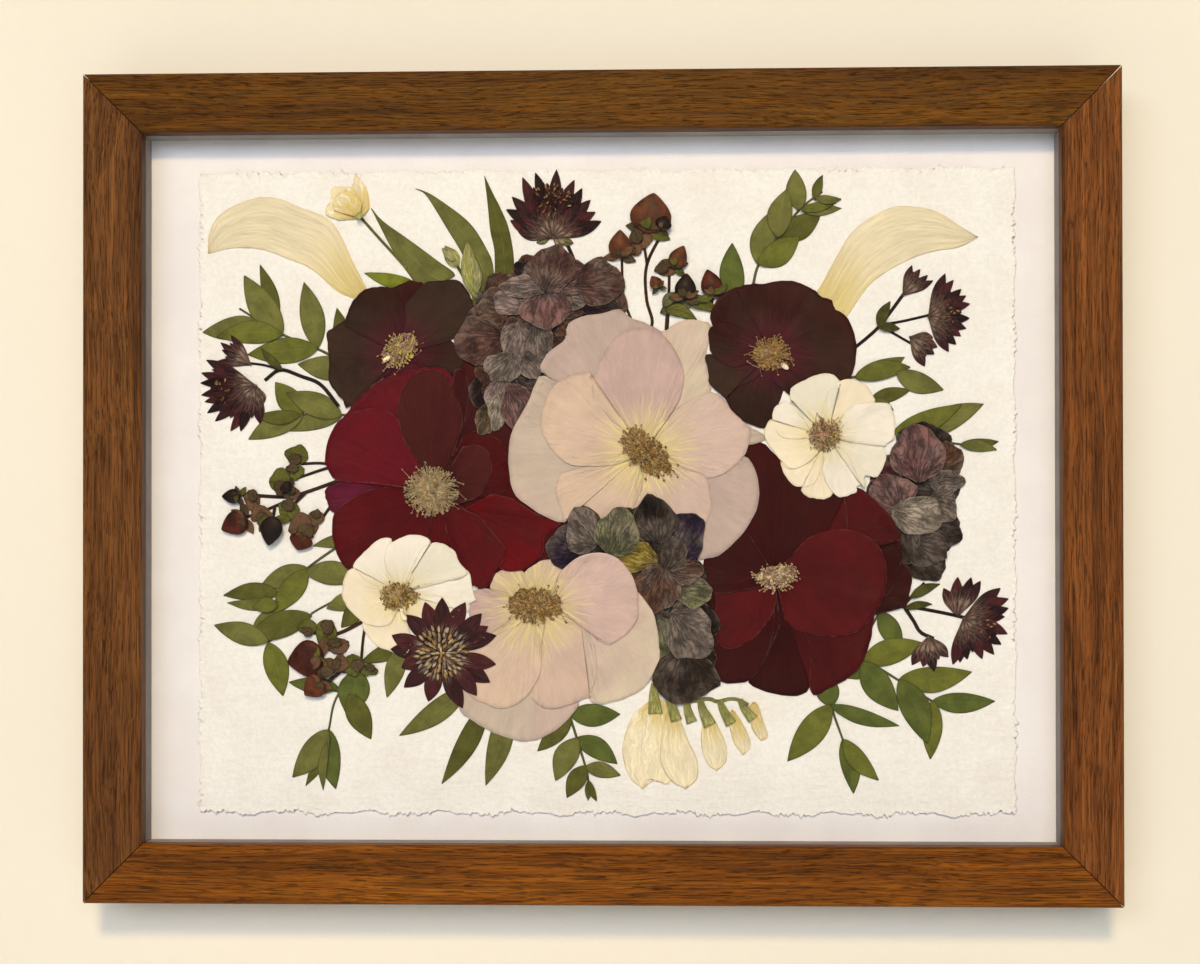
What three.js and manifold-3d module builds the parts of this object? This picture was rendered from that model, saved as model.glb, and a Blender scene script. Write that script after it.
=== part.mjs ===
// Pressed flower frame: dried roses, hydrangea florets, masterwort, pods and leafy sprigs laid flat on
// a deckle-edged sheet, under glass in a walnut frame. Millimetres, +Z up, the glass faces -Y.
// Pieces are laid out from the middle of the sight opening, with depth measured back from the front
// face of the rails; the whole layout then moves so that the hanger's hanging point is the origin.

import * as THREE from 'three';
import { mergeVertices } from 'three/addons/utils/BufferGeometryUtils.js';
import Module from 'manifold-3d';

const wasm = await Module();
wasm.setup();

// ---- driving dimensions -----------------------------------------------------------------------

const SIGHT_W = 342.9;          // sight opening, between the lips
const SIGHT_H = 266.7;
const RAIL_FACE = 22.2;         // width of a rail seen from the front
const RAIL_DEPTH = 30;
const LIP_DEPTH = 6;            // thickness of the lip in front of the rabbet
const RABBET = 6.35;            // how far the lip reaches over the glass
const RAIL_CHAMFER = 0.6;
const GAP = 0.3;                // clearance between neighbouring pieces
const LOOSE = 0.4;              // play between the sheets and the rabbet wall

const GLASS_THICK = 2;
const SPACER_WIDE = 5.6;
const SPACER_SETBACK = 0.35;    // the spacer's face, behind the edge of the lip
const SPACER_DEEP = 7.7;
const PAPER_THICK = 0.6;
const PAPER_FRONT = 15.7;
const PAPER = { left: -152.8, right: 156.5, top: 120.8, bottom: -123.2 };
const MAT_THICK = 2;
const BACKING_THICK = 3;

const TAB = { width: 8, length: 13, thick: 0.6 };
const HANGER = { width: 46, height: 9, thick: 0.8, teeth: 7, tooth: 1.6, nailSpan: 38 };
const NAIL = { shank: 0.7, hole: 1.3, head: 2.3, headThick: 0.7 };

const PLATE = 0.45;             // thickness of one pressed leaf or petal
const PITCH = 0.75;             // step from one layer of plates to the next
const POD_DEEP = 2;             // how far a dried pod or berry stands up
const NARROW_LEAF = 8;          // a leaf under this width has straight sides

// ---- finishes ---------------------------------------------------------------------------------

const finish = (color, roughness = 0.85, metalness = 0) =>
  new THREE.MeshStandardMaterial({ color, roughness, metalness });
const WALNUT = finish(0x855b38, 0.55);
const GLASS = finish(0xdde6e6, 0.05);
const BOARD = finish(0xece4e2);
const DECKLE = finish(0xf9f3e8, 0.95);
const KRAFT = finish(0xa88a62);
const STEEL = finish(0x9a9a98, 0.4, 0.9);
const LEAF = finish(0x5d6b36);
const FRESH_LEAF = finish(0x6d8a35);
const BURGUNDY = finish(0x3a1a18);
const CRIMSON = finish(0x5a1020);
const MAROON = finish(0x4a1718);
const BLUSH = finish(0xdfc8b8);
const IVORY = finish(0xf5edda);
const PLUM = finish(0x3b1a22);
const MAUVE = finish(0x6a5a58);
const POD = finish(0x4a2a1a, 0.6);
const LILY = finish(0xe6d7b2);
const CREAM = finish(0xf1e6c8);

// ---- solids -----------------------------------------------------------------------------------

const layout = new THREE.Group();

// A geometry's triangles as a solid that can be joined and cut.
const solid = (geometry) => {
  const bare = geometry.clone();
  bare.deleteAttribute('normal');
  bare.deleteAttribute('uv');
  const merged = mergeVertices(bare, 1e-4);
  return new wasm.Manifold(new wasm.Mesh({
    numProp: 3,
    vertProperties: new Float32Array(merged.attributes.position.array),
    triVerts: new Uint32Array(merged.index.array),
  }));
};

// Joins overlapping geometries into one closed shell.
const fuse = (geometries) => {
  const joined = geometries.map(solid).reduce((sum, next) => sum.add(next));
  const mesh = joined.getMesh();
  const geometry = new THREE.BufferGeometry();
  geometry.setAttribute('position', new THREE.BufferAttribute(mesh.vertProperties, 3));
  geometry.setIndex(new THREE.BufferAttribute(mesh.triVerts, 1));
  return geometry;
};

const addNode = (name, material, geometry) => {
  const mesh = new THREE.Mesh(geometry, material);
  mesh.name = name;
  layout.add(mesh);
};

// A flat outline of [x, z] points, extruded from depth `back` towards the glass by `thick`.
const slab = (outline, back, thick, holes = []) => {
  const shape = new THREE.Shape(outline.map(([x, z]) => new THREE.Vector2(x, z)));
  shape.holes = holes;
  const geometry = new THREE.ExtrudeGeometry(shape, { depth: thick, bevelEnabled: false, curveSegments: 2 });
  return geometry.rotateX(Math.PI / 2).translate(0, back, 0);
};

const rectangle = (left, right, bottom, top) => [[left, bottom], [right, bottom], [right, top], [left, top]];

// ---- frame ------------------------------------------------------------------------------------

const HALF_W = SIGHT_W / 2 + RAIL_FACE;
const HALF_H = SIGHT_H / 2 + RAIL_FACE;
const MITRE_CLEAR = GAP / Math.SQRT2;

// The L-shaped section of a rail: u runs from the outer face to the lip, v back from the front face.
const railSection = () => {
  const wall = RAIL_FACE - RABBET;
  const c = RAIL_CHAMFER;
  const points = [
    [0, c], [c, 0], [RAIL_FACE - c, 0], [RAIL_FACE, c], [RAIL_FACE, LIP_DEPTH],
    [wall, LIP_DEPTH], [wall, RAIL_DEPTH], [0, RAIL_DEPTH],
  ];
  return new THREE.Shape(points.map(([u, v]) => new THREE.Vector2(u, v)));
};

// A rail along X whose ends are drawn in by u, which makes its two mitres; `turn` swings it round
// the opening to its own side.
const rail = (halfLength, halfAcross, turn) => {
  const geometry = new THREE.ExtrudeGeometry(railSection(), { depth: 2, bevelEnabled: false });
  const at = geometry.attributes.position;
  for (let i = 0; i < at.count; i += 1) {
    const [u, v] = [at.getX(i), at.getY(i)];
    const end = at.getZ(i) > 1 ? 1 : -1;
    at.setXYZ(i, end * (halfLength - u - MITRE_CLEAR), v, halfAcross - u);
  }
  return geometry.rotateY(turn);
};

const buildFrame = () => {
  addNode('rail_top', WALNUT, rail(HALF_W, HALF_H, 0));
  addNode('rail_bottom', WALNUT, rail(HALF_W, HALF_H, Math.PI));
  addNode('rail_right', WALNUT, rail(HALF_H, HALF_W, Math.PI / 2));
  addNode('rail_left', WALNUT, rail(HALF_H, HALF_W, -Math.PI / 2));
};

// ---- glass, spacers, boards and paper ----------------------------------------------------------

const SHEET_W = SIGHT_W / 2 + RABBET - LOOSE;
const SHEET_H = SIGHT_H / 2 + RABBET - LOOSE;
const sheet = (back, thick) => slab(rectangle(-SHEET_W, SHEET_W, -SHEET_H, SHEET_H), back, thick);

const glassBack = LIP_DEPTH + GAP + GLASS_THICK;
const spacerBack = glassBack + GAP + SPACER_DEEP;
const matBack = PAPER_FRONT + PAPER_THICK + GAP + MAT_THICK;
const backingBack = matBack + GAP + BACKING_THICK;

// The torn edge of the sheet wanders by up to about a millimetre.
const TEAR_STEP = 48;
const tear = (at, side) => 0.7 * Math.sin(at * 0.21 + side) + 0.5 * Math.sin(at * 0.47 + side * 2.3);

const deckleOutline = () => {
  const { left, right, top, bottom } = PAPER;
  const outline = [];
  for (let x = left; x < right; x += TEAR_STEP) outline.push([x, bottom + tear(x, 1)]);
  for (let z = bottom; z < top; z += TEAR_STEP) outline.push([right + tear(z, 2), z]);
  for (let x = right; x > left; x -= TEAR_STEP) outline.push([x, top + tear(x, 3)]);
  for (let z = top; z > bottom; z -= TEAR_STEP) outline.push([left + tear(z, 4), z]);
  return outline;
};

const buildSheets = () => {
  addNode('glazing', GLASS, sheet(glassBack, GLASS_THICK));
  addNode('deckle_paper', DECKLE, slab(deckleOutline(), PAPER_FRONT + PAPER_THICK, PAPER_THICK));
  addNode('mat_board', BOARD, sheet(matBack, MAT_THICK));
  addNode('backing_board', KRAFT, sheet(backingBack, BACKING_THICK));

  const innerW = SIGHT_W / 2 + SPACER_SETBACK;
  const innerH = SIGHT_H / 2 + SPACER_SETBACK;
  const strip = (left, right, bottom, top) => slab(rectangle(left, right, bottom, top), spacerBack, SPACER_DEEP);
  const outerW = innerW + SPACER_WIDE;
  const outerH = innerH + SPACER_WIDE;
  addNode('spacer_top', BOARD, strip(-outerW, outerW, innerH, outerH));
  addNode('spacer_bottom', BOARD, strip(-outerW, outerW, -outerH, -innerH));
  addNode('spacer_left', BOARD, strip(-outerW, -innerW, -innerH + GAP, innerH - GAP));
  addNode('spacer_right', BOARD, strip(innerW, outerW, -innerH + GAP, innerH - GAP));
};

// ---- back: flex tabs and the sawtooth hanger ----------------------------------------------------

const WALL_W = SIGHT_W / 2 + RABBET;
const WALL_H = SIGHT_H / 2 + RABBET;
const HANG_HEIGHT = (WALL_H + HALF_H) / 2;

const buildTabs = () => {
  const tabBack = backingBack + GAP + TAB.thick;
  const half = TAB.width / 2;
  const tab = (points) => slab(points, tabBack, TAB.thick);
  for (const [end, sign] of [['top', 1], ['bottom', -1]]) {
    const edge = sign * (WALL_H - GAP);
    const tip = edge - sign * TAB.length;
    addNode(`flex_tab_${end}`, STEEL, tab([[-half, edge], [half, edge], [half * 0.6, tip], [-half * 0.6, tip]]));
  }
  for (const [end, sign] of [['left', -1], ['right', 1]]) {
    const edge = sign * (WALL_W - GAP);
    const tip = edge - sign * TAB.length;
    addNode(`flex_tab_${end}`, STEEL, tab([[edge, -half], [edge, half], [tip, half * 0.6], [tip, -half * 0.6]]));
  }
};

const roundHole = (x, z, radius) => new THREE.Path().absarc(x, z, radius, 0, 2 * Math.PI, true);

const buildHanger = () => {
  const { width, height, thick, teeth, tooth, nailSpan } = HANGER;
  const low = HANG_HEIGHT - height / 2;
  const pitch = (nailSpan - 2 * height) / teeth;
  const outline = [[-width / 2, low], [-teeth * pitch / 2, low]];
  for (let i = 0; i < teeth; i += 1) {
    const x = (i - teeth / 2) * pitch;
    outline.push([x + pitch / 2, low + tooth], [x + pitch, low]);
  }
  outline.push([width / 2, low], [width / 2, low + height], [-width / 2, low + height]);
  const nailX = nailSpan / 2 + 1;
  const holes = [-nailX, nailX].map((x) => roundHole(x, HANG_HEIGHT, NAIL.hole));
  const plateBack = RAIL_DEPTH + GAP + thick;
  addNode('sawtooth_hanger', STEEL, slab(outline, plateBack, thick, holes));

  for (const [side, x] of [['left', -nailX], ['right', nailX]]) {
    const headBack = plateBack + GAP + NAIL.headThick;
    const profile = [
      [0, 0], [NAIL.head, 0], [NAIL.head, NAIL.headThick],
      [NAIL.shank, NAIL.headThick], [NAIL.shank, headBack - RAIL_DEPTH - GAP], [0, headBack - RAIL_DEPTH - GAP],
    ];
    const nail = new THREE.LatheGeometry(profile.map(([r, y]) => new THREE.Vector2(r, y)), 6);
    addNode(`hanger_nail_${side}`, STEEL, nail.rotateX(Math.PI).translate(x, headBack, HANG_HEIGHT));
  }
};

// ---- pressed leaves and petals ------------------------------------------------------------------

// Depth of the back of a plate that lies on layer `level`, counted up from the sheet.
const layerBack = (level) => PAPER_FRONT - GAP - level * PITCH;
const plate = (outline, level, thick = PLATE) => slab(outline, layerBack(level), thick);

// Points beside a centre line from (bx, bz) to (tx, tz): [along 0..1, across in mm] pairs.
const along = (bx, bz, tx, tz, pairs) => {
  const length = Math.hypot(tx - bx, tz - bz);
  const [ux, uz] = [(tx - bx) / length, (tz - bz) / length];
  return pairs.map(([t, across]) => [
    bx + ux * length * t + uz * across,
    bz + uz * length * t - ux * across,
  ]);
};

// A pointed leaf, base to tip. A narrow one is a plain lozenge.
const leaf = (level, [bx, bz, tx, tz, width]) => {
  const stations = width < NARROW_LEAF ? [[0.42, 1]] : [[0.26, 0.9], [0.66, 0.88]];
  const right = stations.map(([t, k]) => [t, k * width / 2]);
  const left = stations.map(([t, k]) => [t, -k * width / 2]).reverse();
  return plate(along(bx, bz, tx, tz, [[0, 0], ...right, [1, 0], ...left]), level);
};

// A petal, narrow at its base and broadly rounded at its far end, by points at these angles.
const BROAD = [108, 52, 0, -52, -108];
const SMALL = [106, 42, -42, -106];
const petal = (bx, bz, [tx, tz, width, level], angles = BROAD) => {
  const pairs = [[0, 0]];
  for (const degrees of angles) {
    const angle = THREE.MathUtils.degToRad(degrees);
    pairs.push([0.57 + 0.43 * Math.cos(angle), Math.sin(angle) * width / 2]);
  }
  return plate(along(bx, bz, tx, tz, pairs), level);
};

// A ribbon of even width along a bent line.
const stem = (level, width, points, thick = PLATE) => {
  const left = [];
  const right = [];
  points.forEach(([x, z], i) => {
    const [ax, az] = points[Math.max(i - 1, 0)];
    const [cx, cz] = points[Math.min(i + 1, points.length - 1)];
    const length = Math.hypot(cx - ax, cz - az);
    const [nx, nz] = [-(cz - az) / length * width / 2, (cx - ax) / length * width / 2];
    left.push([x + nx, z + nz]);
    right.push([x - nx, z - nz]);
  });
  return plate([...right, ...left.reverse()], level, thick);
};

// A tapering plate through hand-placed edge points.
const shape = (level, points, thick = PLATE) => plate(points, level, thick);

// A fan of pointed bracts: from the base out to each tip, with a notch between neighbours.
const fan = (level, base, tips, notch = 0.8) => {
  const outline = [base];
  tips.forEach(([x, z], i) => {
    outline.push([x, z]);
    const next = tips[i + 1];
    if (!next) return;
    const [mx, mz] = [(x + next[0]) / 2, (z + next[1]) / 2];
    outline.push([base[0] + (mx - base[0]) * notch, base[1] + (mz - base[1]) * notch]);
  });
  return plate(outline.reverse(), level);
};

// A dried pod or berry, pressed flat behind and domed low towards the glass.
const pod = (level, [x, z, width, height, degrees = 0]) => new THREE.ConeGeometry(1, POD_DEEP, 6)
  .rotateX(Math.PI)
  .scale(width / 2, 1, height / 2)
  .rotateY(THREE.MathUtils.degToRad(-degrees))
  .translate(x, layerBack(level) - POD_DEEP / 2, z);

// The heart of a flower: a short column that ties its petals together, from layer to layer.
const heart = (x, z, radius, from, to) => {
  const height = (to - from) * PITCH + PLATE;
  return new THREE.CylinderGeometry(radius, radius, height, 8)
    .translate(x, layerBack(from) - height / 2, z);
};

const leaves = (level, rows) => rows.map((row) => leaf(level, row));
const pods = (level, rows) => rows.map((row) => pod(level, row));
const specimen = (name, material, pieces) => addNode(name, material, fuse(pieces));

// ---- roses --------------------------------------------------------------------------------------

// A pressed rose: petals as [tip x, tip z, width, layer], each from its own base or the centre.
const rose = (name, material, [x, z], heartRadius, petals) => {
  const levels = petals.map((row) => row[3]);
  const column = heart(x, z, heartRadius, Math.min(...levels), Math.max(...levels) + 0.5);
  const plates = petals.map((row) => petal(row[4] ?? x, row[5] ?? z, row));
  specimen(name, material, [column, ...plates]);
};

const buildRoses = () => {
  rose('rose_burgundy_left', BURGUNDY, [-78, 51], 6, [
    [-104, 47, 34, 1], [-97.5, 69.5, 28, 1], [-84, 77.5, 34, 1], [-60, 80, 36, 1],
    [-46, 66, 32, 1], [-50, 46, 32, 1], [-74, 30, 34, 1], [-94, 31.5, 28, 1],
  ]);
  rose('rose_crimson_left', CRIMSON, [-62, -1], 8, [
    [-103, 24, 44, 2], [-101.5, -22, 38, 2], [-64, 45.8, 46, 2], [-38, 26, 42, 2],
    [-34, 2, 34, 2], [-44, -38, 34, 2], [-75, -34, 32, 2], [-18.5, -20, 27, 2, -52, -8],
  ]);
  rose('rose_burgundy_right', BURGUNDY, [66, 51], 6, [
    [46, 74, 36, 3], [68, 79, 40, 3], [88, 70, 34, 3], [97, 53, 36, 3],
    [88, 35, 32, 3], [62, 23.6, 34, 3], [48, 31, 36, 3], [40, 50, 30, 3],
  ]);
  rose('rose_crimson_right', MAROON, [66, -33], 8, [
    [108.5, -36, 41, 3], [110.5, -6, 36, 2.5, 72, -27], [117.5, -38, 22, 2.5, 85, -38],
    [64, 16, 30, 1], [43, -54, 36, 1], [52, -75, 32, 1], [74, -78.5, 38, 1],
    [99, -67, 36, 1], [42, -26, 30, 1],
  ]);
  rose('rose_blush_centre', BLUSH, [16, 14], 7, [
    [14, 60, 36, 5], [-4, 67, 44, 4.5], [41, 60, 28, 2], [-22.5, 27, 38, 5],
    [-34.5, 8, 52, 4.5], [-13, -12.5, 30, 4.5], [32, -18, 34, 4.5], [57, 19, 36, 2],
    [56, -13, 40, 2],
  ]);
  rose('rose_blush_lower', BLUSH, [-24, -45], 7, [
    [14.5, -44, 37, 7.5], [21, -70, 42, 7.5], [2, -76, 34, 2], [-42, -84, 32, 2, -30, -48],
    [-26, -96, 44, 1], [-49, -46, 22, 1], [-43, -35, 16, 1], [-19, -25, 20, 1],
  ]);
  rose('rose_white_right', IVORY, [85, 19], 6, [
    [72, 38, 24, 4.5], [85, 43.5, 26, 4.5], [103, 37, 24, 4.5], [112, 24, 26, 4.5],
    [107, 6, 28, 4.5], [91, -4, 24, 4.5], [75, -2.5, 26, 4.5], [62, 20, 28, 4.5],
  ]);
  rose('rose_white_left', IVORY, [-76, -40], 6, [
    [-92, -22, 24, 3], [-75, -17.5, 26, 3], [-57, -21, 26, 3], [-47.5, -39, 26, 3],
    [-60, -60, 24, 3], [-80, -62, 24, 3], [-96, -50, 24, 3], [-98, -36, 24, 3],
  ]);
};

// ---- hydrangea ----------------------------------------------------------------------------------

// A cluster of florets: petals as [x, z, tip x, tip z, width, layer].
const florets = (name, petals) => specimen(
  name, MAUVE, petals.map(([x, z, tx, tz, width, level]) => petal(x, z, [tx, tz, width, level], SMALL)),
);

const buildHydrangeas = () => {
  florets('hydrangea_upper', [
    [-20.5, 76, -17, 91.5, 16, 3.5], [-20.5, 75.5, -6, 80, 13, 3], [-20.5, 76, -18, 61, 17, 3],
    [-20, 76, -37, 77, 9, 3.5], [-22, 78, -33, 87, 10, 3], [-15, 73, 9, 78, 18, 3],
    [-18, 72, -4, 68, 10, 3.5], [-28, 70, -46, 69, 14, 3], [-27, 66, -41, 75, 12, 3.5],
    [-30, 62, -54.5, 56, 18, 3], [-26, 66, -33, 48, 14, 3.5], [-22, 66, -19, 49, 14, 3],
    [-30, 56, -39, 40, 14, 3], [-30, 52, -24, 42, 10, 3.5], [-38, 46, -27, 24, 15, 3.5],
    [-38, 44, -44, 20, 12, 3],
  ]);
  florets('hydrangea_middle', [
    [6, -25, 7, -9, 15, 6.5], [2, -25, -8, -8, 13, 6], [2, -25, -18, -20, 15, 6.5],
    [26, -30, 18, -5, 17, 6], [26, -28, 36, -10, 15, 6.5], [26, -30, 4, -25, 12, 6],
    [23, -30, 20, -46, 17, 6.5], [22, -32, 42, -27, 13, 6], [26, -38, 42, -43, 12, 6.5],
    [24, -44, 33, -63, 18, 6.5], [24, -40, 20, -56, 10, 6], [36, -58, 44, -64, 16, 6],
    [40, -60, 26, -80, 18, 6], [26, -60, 38, -77, 16, 6.5],
  ]);
  florets('hydrangea_right', [
    [120, 2, 118, 23, 20, 1.5], [120, 4, 132, 18, 14, 1], [121, 3, 137, 8, 13, 1],
    [120, 2, 103, 9, 12, 1], [111, -10, 103, 3, 13, 1.5], [112, -9, 118, 5, 11, 1],
    [120, 0, 137, -1, 12, 1.5], [122, -2, 133, -12, 11, 1], [111, -9, 128, -9, 13, 1.5],
    [114, -26, 114, -10, 13, 1], [115, -26, 129, -15, 12, 1.5], [116, -22, 136, -17, 10, 1],
    [115, -27, 129, -28, 14, 1], [114, -20, 112, -32, 10, 1.5],
  ]);
};

// ---- masterwort ---------------------------------------------------------------------------------

const buildMasterwort = () => {
  const middle = [-60.5, -62.5];
  const tips = [
    [-60, -41.5], [-51.2, -43.3], [-45, -47.6], [-42.6, -52.4], [-39.4, -55.8], [-39.6, -66.8],
    [-41.8, -73.6], [-46.8, -78.6], [-52.3, -83.4], [-65.4, -81], [-74.6, -75.6], [-75.6, -68],
    [-79.6, -61], [-79.2, -55.8], [-73.6, -48], [-66.6, -43.2],
  ];
  specimen('astrantia_star', PLUM, [
    fan(4.5, middle, [...tips, tips[0]], 0.58), heart(...middle, 9.5, 4.5, 5.5),
  ]);
  specimen('astrantia_top', PLUM, [
    fan(0, [-18, 95], [
      [-25, 94], [-31, 97.8], [-34, 102], [-35.4, 106.2], [-33.3, 111], [-29.3, 118.3], [-24.3, 120],
      [-16.3, 121.3], [-9.6, 117.2], [-6.6, 114], [-3.4, 109.6], [-1.6, 105], [0.6, 101.4],
      [-3.6, 94.8], [-9.6, 92],
    ]),
    stem(0, 1.4, [[-14, 96], [-11.5, 91], [-8, 82.5]]),
  ]);
  specimen('astrantia_left', PLUM, [
    fan(1, [-131, 39.5], [
      [-135, 49], [-150.4, 49.4], [-152.4, 44.4], [-152.8, 40.6], [-152.4, 36], [-151, 33.4], [-150, 29.2],
      [-147, 26], [-141, 22.2], [-137.2, 22.2], [-129.8, 25], [-129, 32], [-123.6, 31.4],
    ]),
    fan(1, [-133, 48], [[-140.7, 58.7], [-144.8, 56], [-144.4, 53.2], [-146, 49], [-139, 43]]),
    stem(1, 1.4, [[-128, 41.5], [-122, 45.5], [-114, 43], [-106.5, 39.8], [-99.5, 31.4]]),
    stem(1, 0.9, [[-134.5, 48.2], [-128, 47.3], [-122, 45.5]]),
    shape(1, [[-121, 46], [-124.5, 52], [-129.3, 53.8], [-127.6, 50.4], [-123, 46]]),
  ]);
  specimen('astrantia_right_upper', PLUM, [
    fan(0, [124, 64.6], [
      [130.6, 80.8], [133.6, 78.3], [136.6, 74.8], [138.4, 72.4], [139.8, 69.4], [139.6, 63.8],
      [138.4, 60], [136.4, 57.2], [134.6, 54], [131.8, 51.2], [124, 54],
    ], 0.84),
    fan(0, [113.6, 72.4], [[118, 84], [121.2, 82.4], [124, 80.2], [126, 78.2], [124.6, 70.4]]),
    fan(0, [117, 57], [[126, 58], [126.4, 48.4], [122.8, 45.8], [118, 49]]),
    stem(0, 1.3, [[94, 51], [101, 56.6], [106.6, 62], [115.4, 73.8]]),
    stem(0, 1, [[105.6, 61.4], [115, 63], [124.6, 65.2]]),
    stem(0, 1, [[106.6, 61], [117.5, 54.6]]),
    shape(0, [[105.4, 60.4], [112, 57.6], [113.4, 61.4], [110, 66], [109.8, 70.4], [107.4, 67.8]]),
  ]);
  specimen('astrantia_right_lower', PLUM, [
    fan(1, [137, -49], [
      [151, -38], [154, -42], [154, -45.6], [152.6, -48.8], [153.6, -55.2], [151.2, -59.2],
      [148.6, -63], [144.2, -64.6], [138.4, -64.8], [135.8, -66], [133.2, -66.8],
    ]),
    fan(1, [134.6, -48.5], [[129.8, -38], [135, -33.8], [143.6, -35], [143.2, -40.4], [140.8, -43.6]], 1.1),
    fan(1, [125, -55.5], [[117.8, -67], [124, -66.4], [126, -69.2], [132, -64], [132, -56.6]], 0.95),
    stem(1, 1.3, [[104, -45.4], [115.5, -45], [128, -47], [138, -49.2]]),
    stem(1, 1.2, [[115, -44], [119.4, -39.4], [122.6, -36]]),
    stem(1, 1.6, [[115, -45.2], [118.6, -50.6], [121, -54.6], [126, -57]]),
    shape(1, [[115, -45.6], [121, -43], [125.4, -44.2], [120, -46.6]]),
    shape(1, [[118, -40.8], [126.8, -35.8], [125, -39], [128.6, -39.2], [122, -41.4]]),
  ]);
};

// ---- pods and berries ---------------------------------------------------------------------------

const buildHypericum = () => {
  specimen('hypericum_top', POD, [
    stem(0, 1.1, [[16, 56], [11.6, 65], [9, 74], [8.4, 90]]),
    stem(0, 1.3, [[16, 56], [20, 62.5], [17.8, 72], [18, 85], [25, 99]]),
    stem(0, 1.1, [[18, 85], [16.4, 96]]),
    ...pods(0, [[8, 92.8, 8.6, 11], [20, 104.6, 15, 12.6, 25], [15.6, 95.6, 8, 8], [24.6, 101, 5.6, 6]]),
    shape(0, [[3, 85.2], [5, 88.4], [10, 82.4], [15.6, 84], [16.4, 91], [12, 92.4], [2.4, 88]]),
  ]);
  specimen('hypericum_top_right', POD, [
    shape(0, [
      [22, 69.6], [24.6, 72], [34, 70.4], [38, 71.4], [42.4, 70], [45, 72], [43, 66.6], [38, 64.4],
      [29, 63.6], [26.4, 66.6],
    ]),
    stem(0, 2.2, [[25.4, 60], [26.2, 72]]),
    stem(0, 1.1, [[26.2, 70], [26.5, 82]]),
    stem(0, 1.6, [[33, 68], [33, 73]]),
    stem(0, 1.6, [[42.4, 69], [42.6, 74]]),
    ...pods(0, [
      [30.6, 87.6, 6, 9.6, 20], [26.2, 83.4, 6, 8.6], [33, 75, 8, 10.4], [42.6, 76.4, 7.4, 11, -20],
      [21.2, 76.6, 4.6, 6.2],
    ]),
    shape(0, [[18.8, 82.6], [24, 84.6], [30, 81.4], [34, 82.6], [30, 79.6], [24, 80.6]]),
    shape(0, [[20.6, 76], [24.6, 70], [26, 71.6], [22, 77]]),
  ]);
  specimen('hypericum_left', POD, [
    stem(1, 1.2, [[-101, 8.6], [-106, 9.8], [-114, 9.6]]),
    stem(1, 1.2, [[-101, 8.8], [-107, 7], [-117, 3.6]]),
    stem(1, 1.6, [[-99, 3.4], [-112, -1.2], [-120, -3], [-138, -2]]),
    stem(1, 1.4, [[-112, -1.2], [-118, -8], [-113, -12]]),
    stem(1, 1.4, [[-119, -4.4], [-130, -9], [-136, -11]]),
    stem(1, 1.4, [[-124, -6.8], [-125.4, -14]]),
    stem(1, 1.4, [[-103, -7], [-106.6, -11.6], [-111, -13]]),
    ...pods(1, [
      [-115.6, 14, 9.4, 8.4], [-116, 8.2, 7, 7], [-123, 6, 5.6, 9.6], [-119.6, 3, 8, 6],
      [-140.6, -1.6, 7.6, 5.4], [-131.6, -3.4, 4.4, 7.4],
      [-139.4, -12.4, 13, 8.4, -10], [-130.6, -9.4, 7.4, 7.4], [-125.4, -17.4, 8.6, 10.6, 15],
      [-118, -7, 6, 8], [-120, -0.6, 6, 6], [-111.6, -13, 11, 8], [-112.6, -19.2, 10.6, 8],
    ]),
  ]);
  specimen('hypericum_lower_left', POD, [
    stem(1, 1.8, [[-90, -50.4], [-101, -55.4], [-111, -54.6]]),
    stem(1, 1.2, [[-89.6, -53], [-90.4, -58], [-91, -66]]),
    stem(1, 1.6, [[-99.6, -62], [-98.6, -69.4], [-91, -68], [-86, -68.6]]),
    stem(1, 1.6, [[-98.6, -69.4], [-105.6, -75]]),
    ...pods(1, [
      [-112, -65, 14, 14.4], [-105.6, -54, 7, 10], [-112, -53, 6.6, 7], [-99.6, -60.4, 9, 7.4], [-106, -62, 6.4, 8],
      [-102.6, -68, 9, 7], [-92.6, -67.6, 9, 8.6], [-86, -68.6, 6.4, 4.6],
      [-108, -76, 12, 7.4, -20],
    ]),
  ]);
};

// ---- lily petals and freesia --------------------------------------------------------------------

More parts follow.
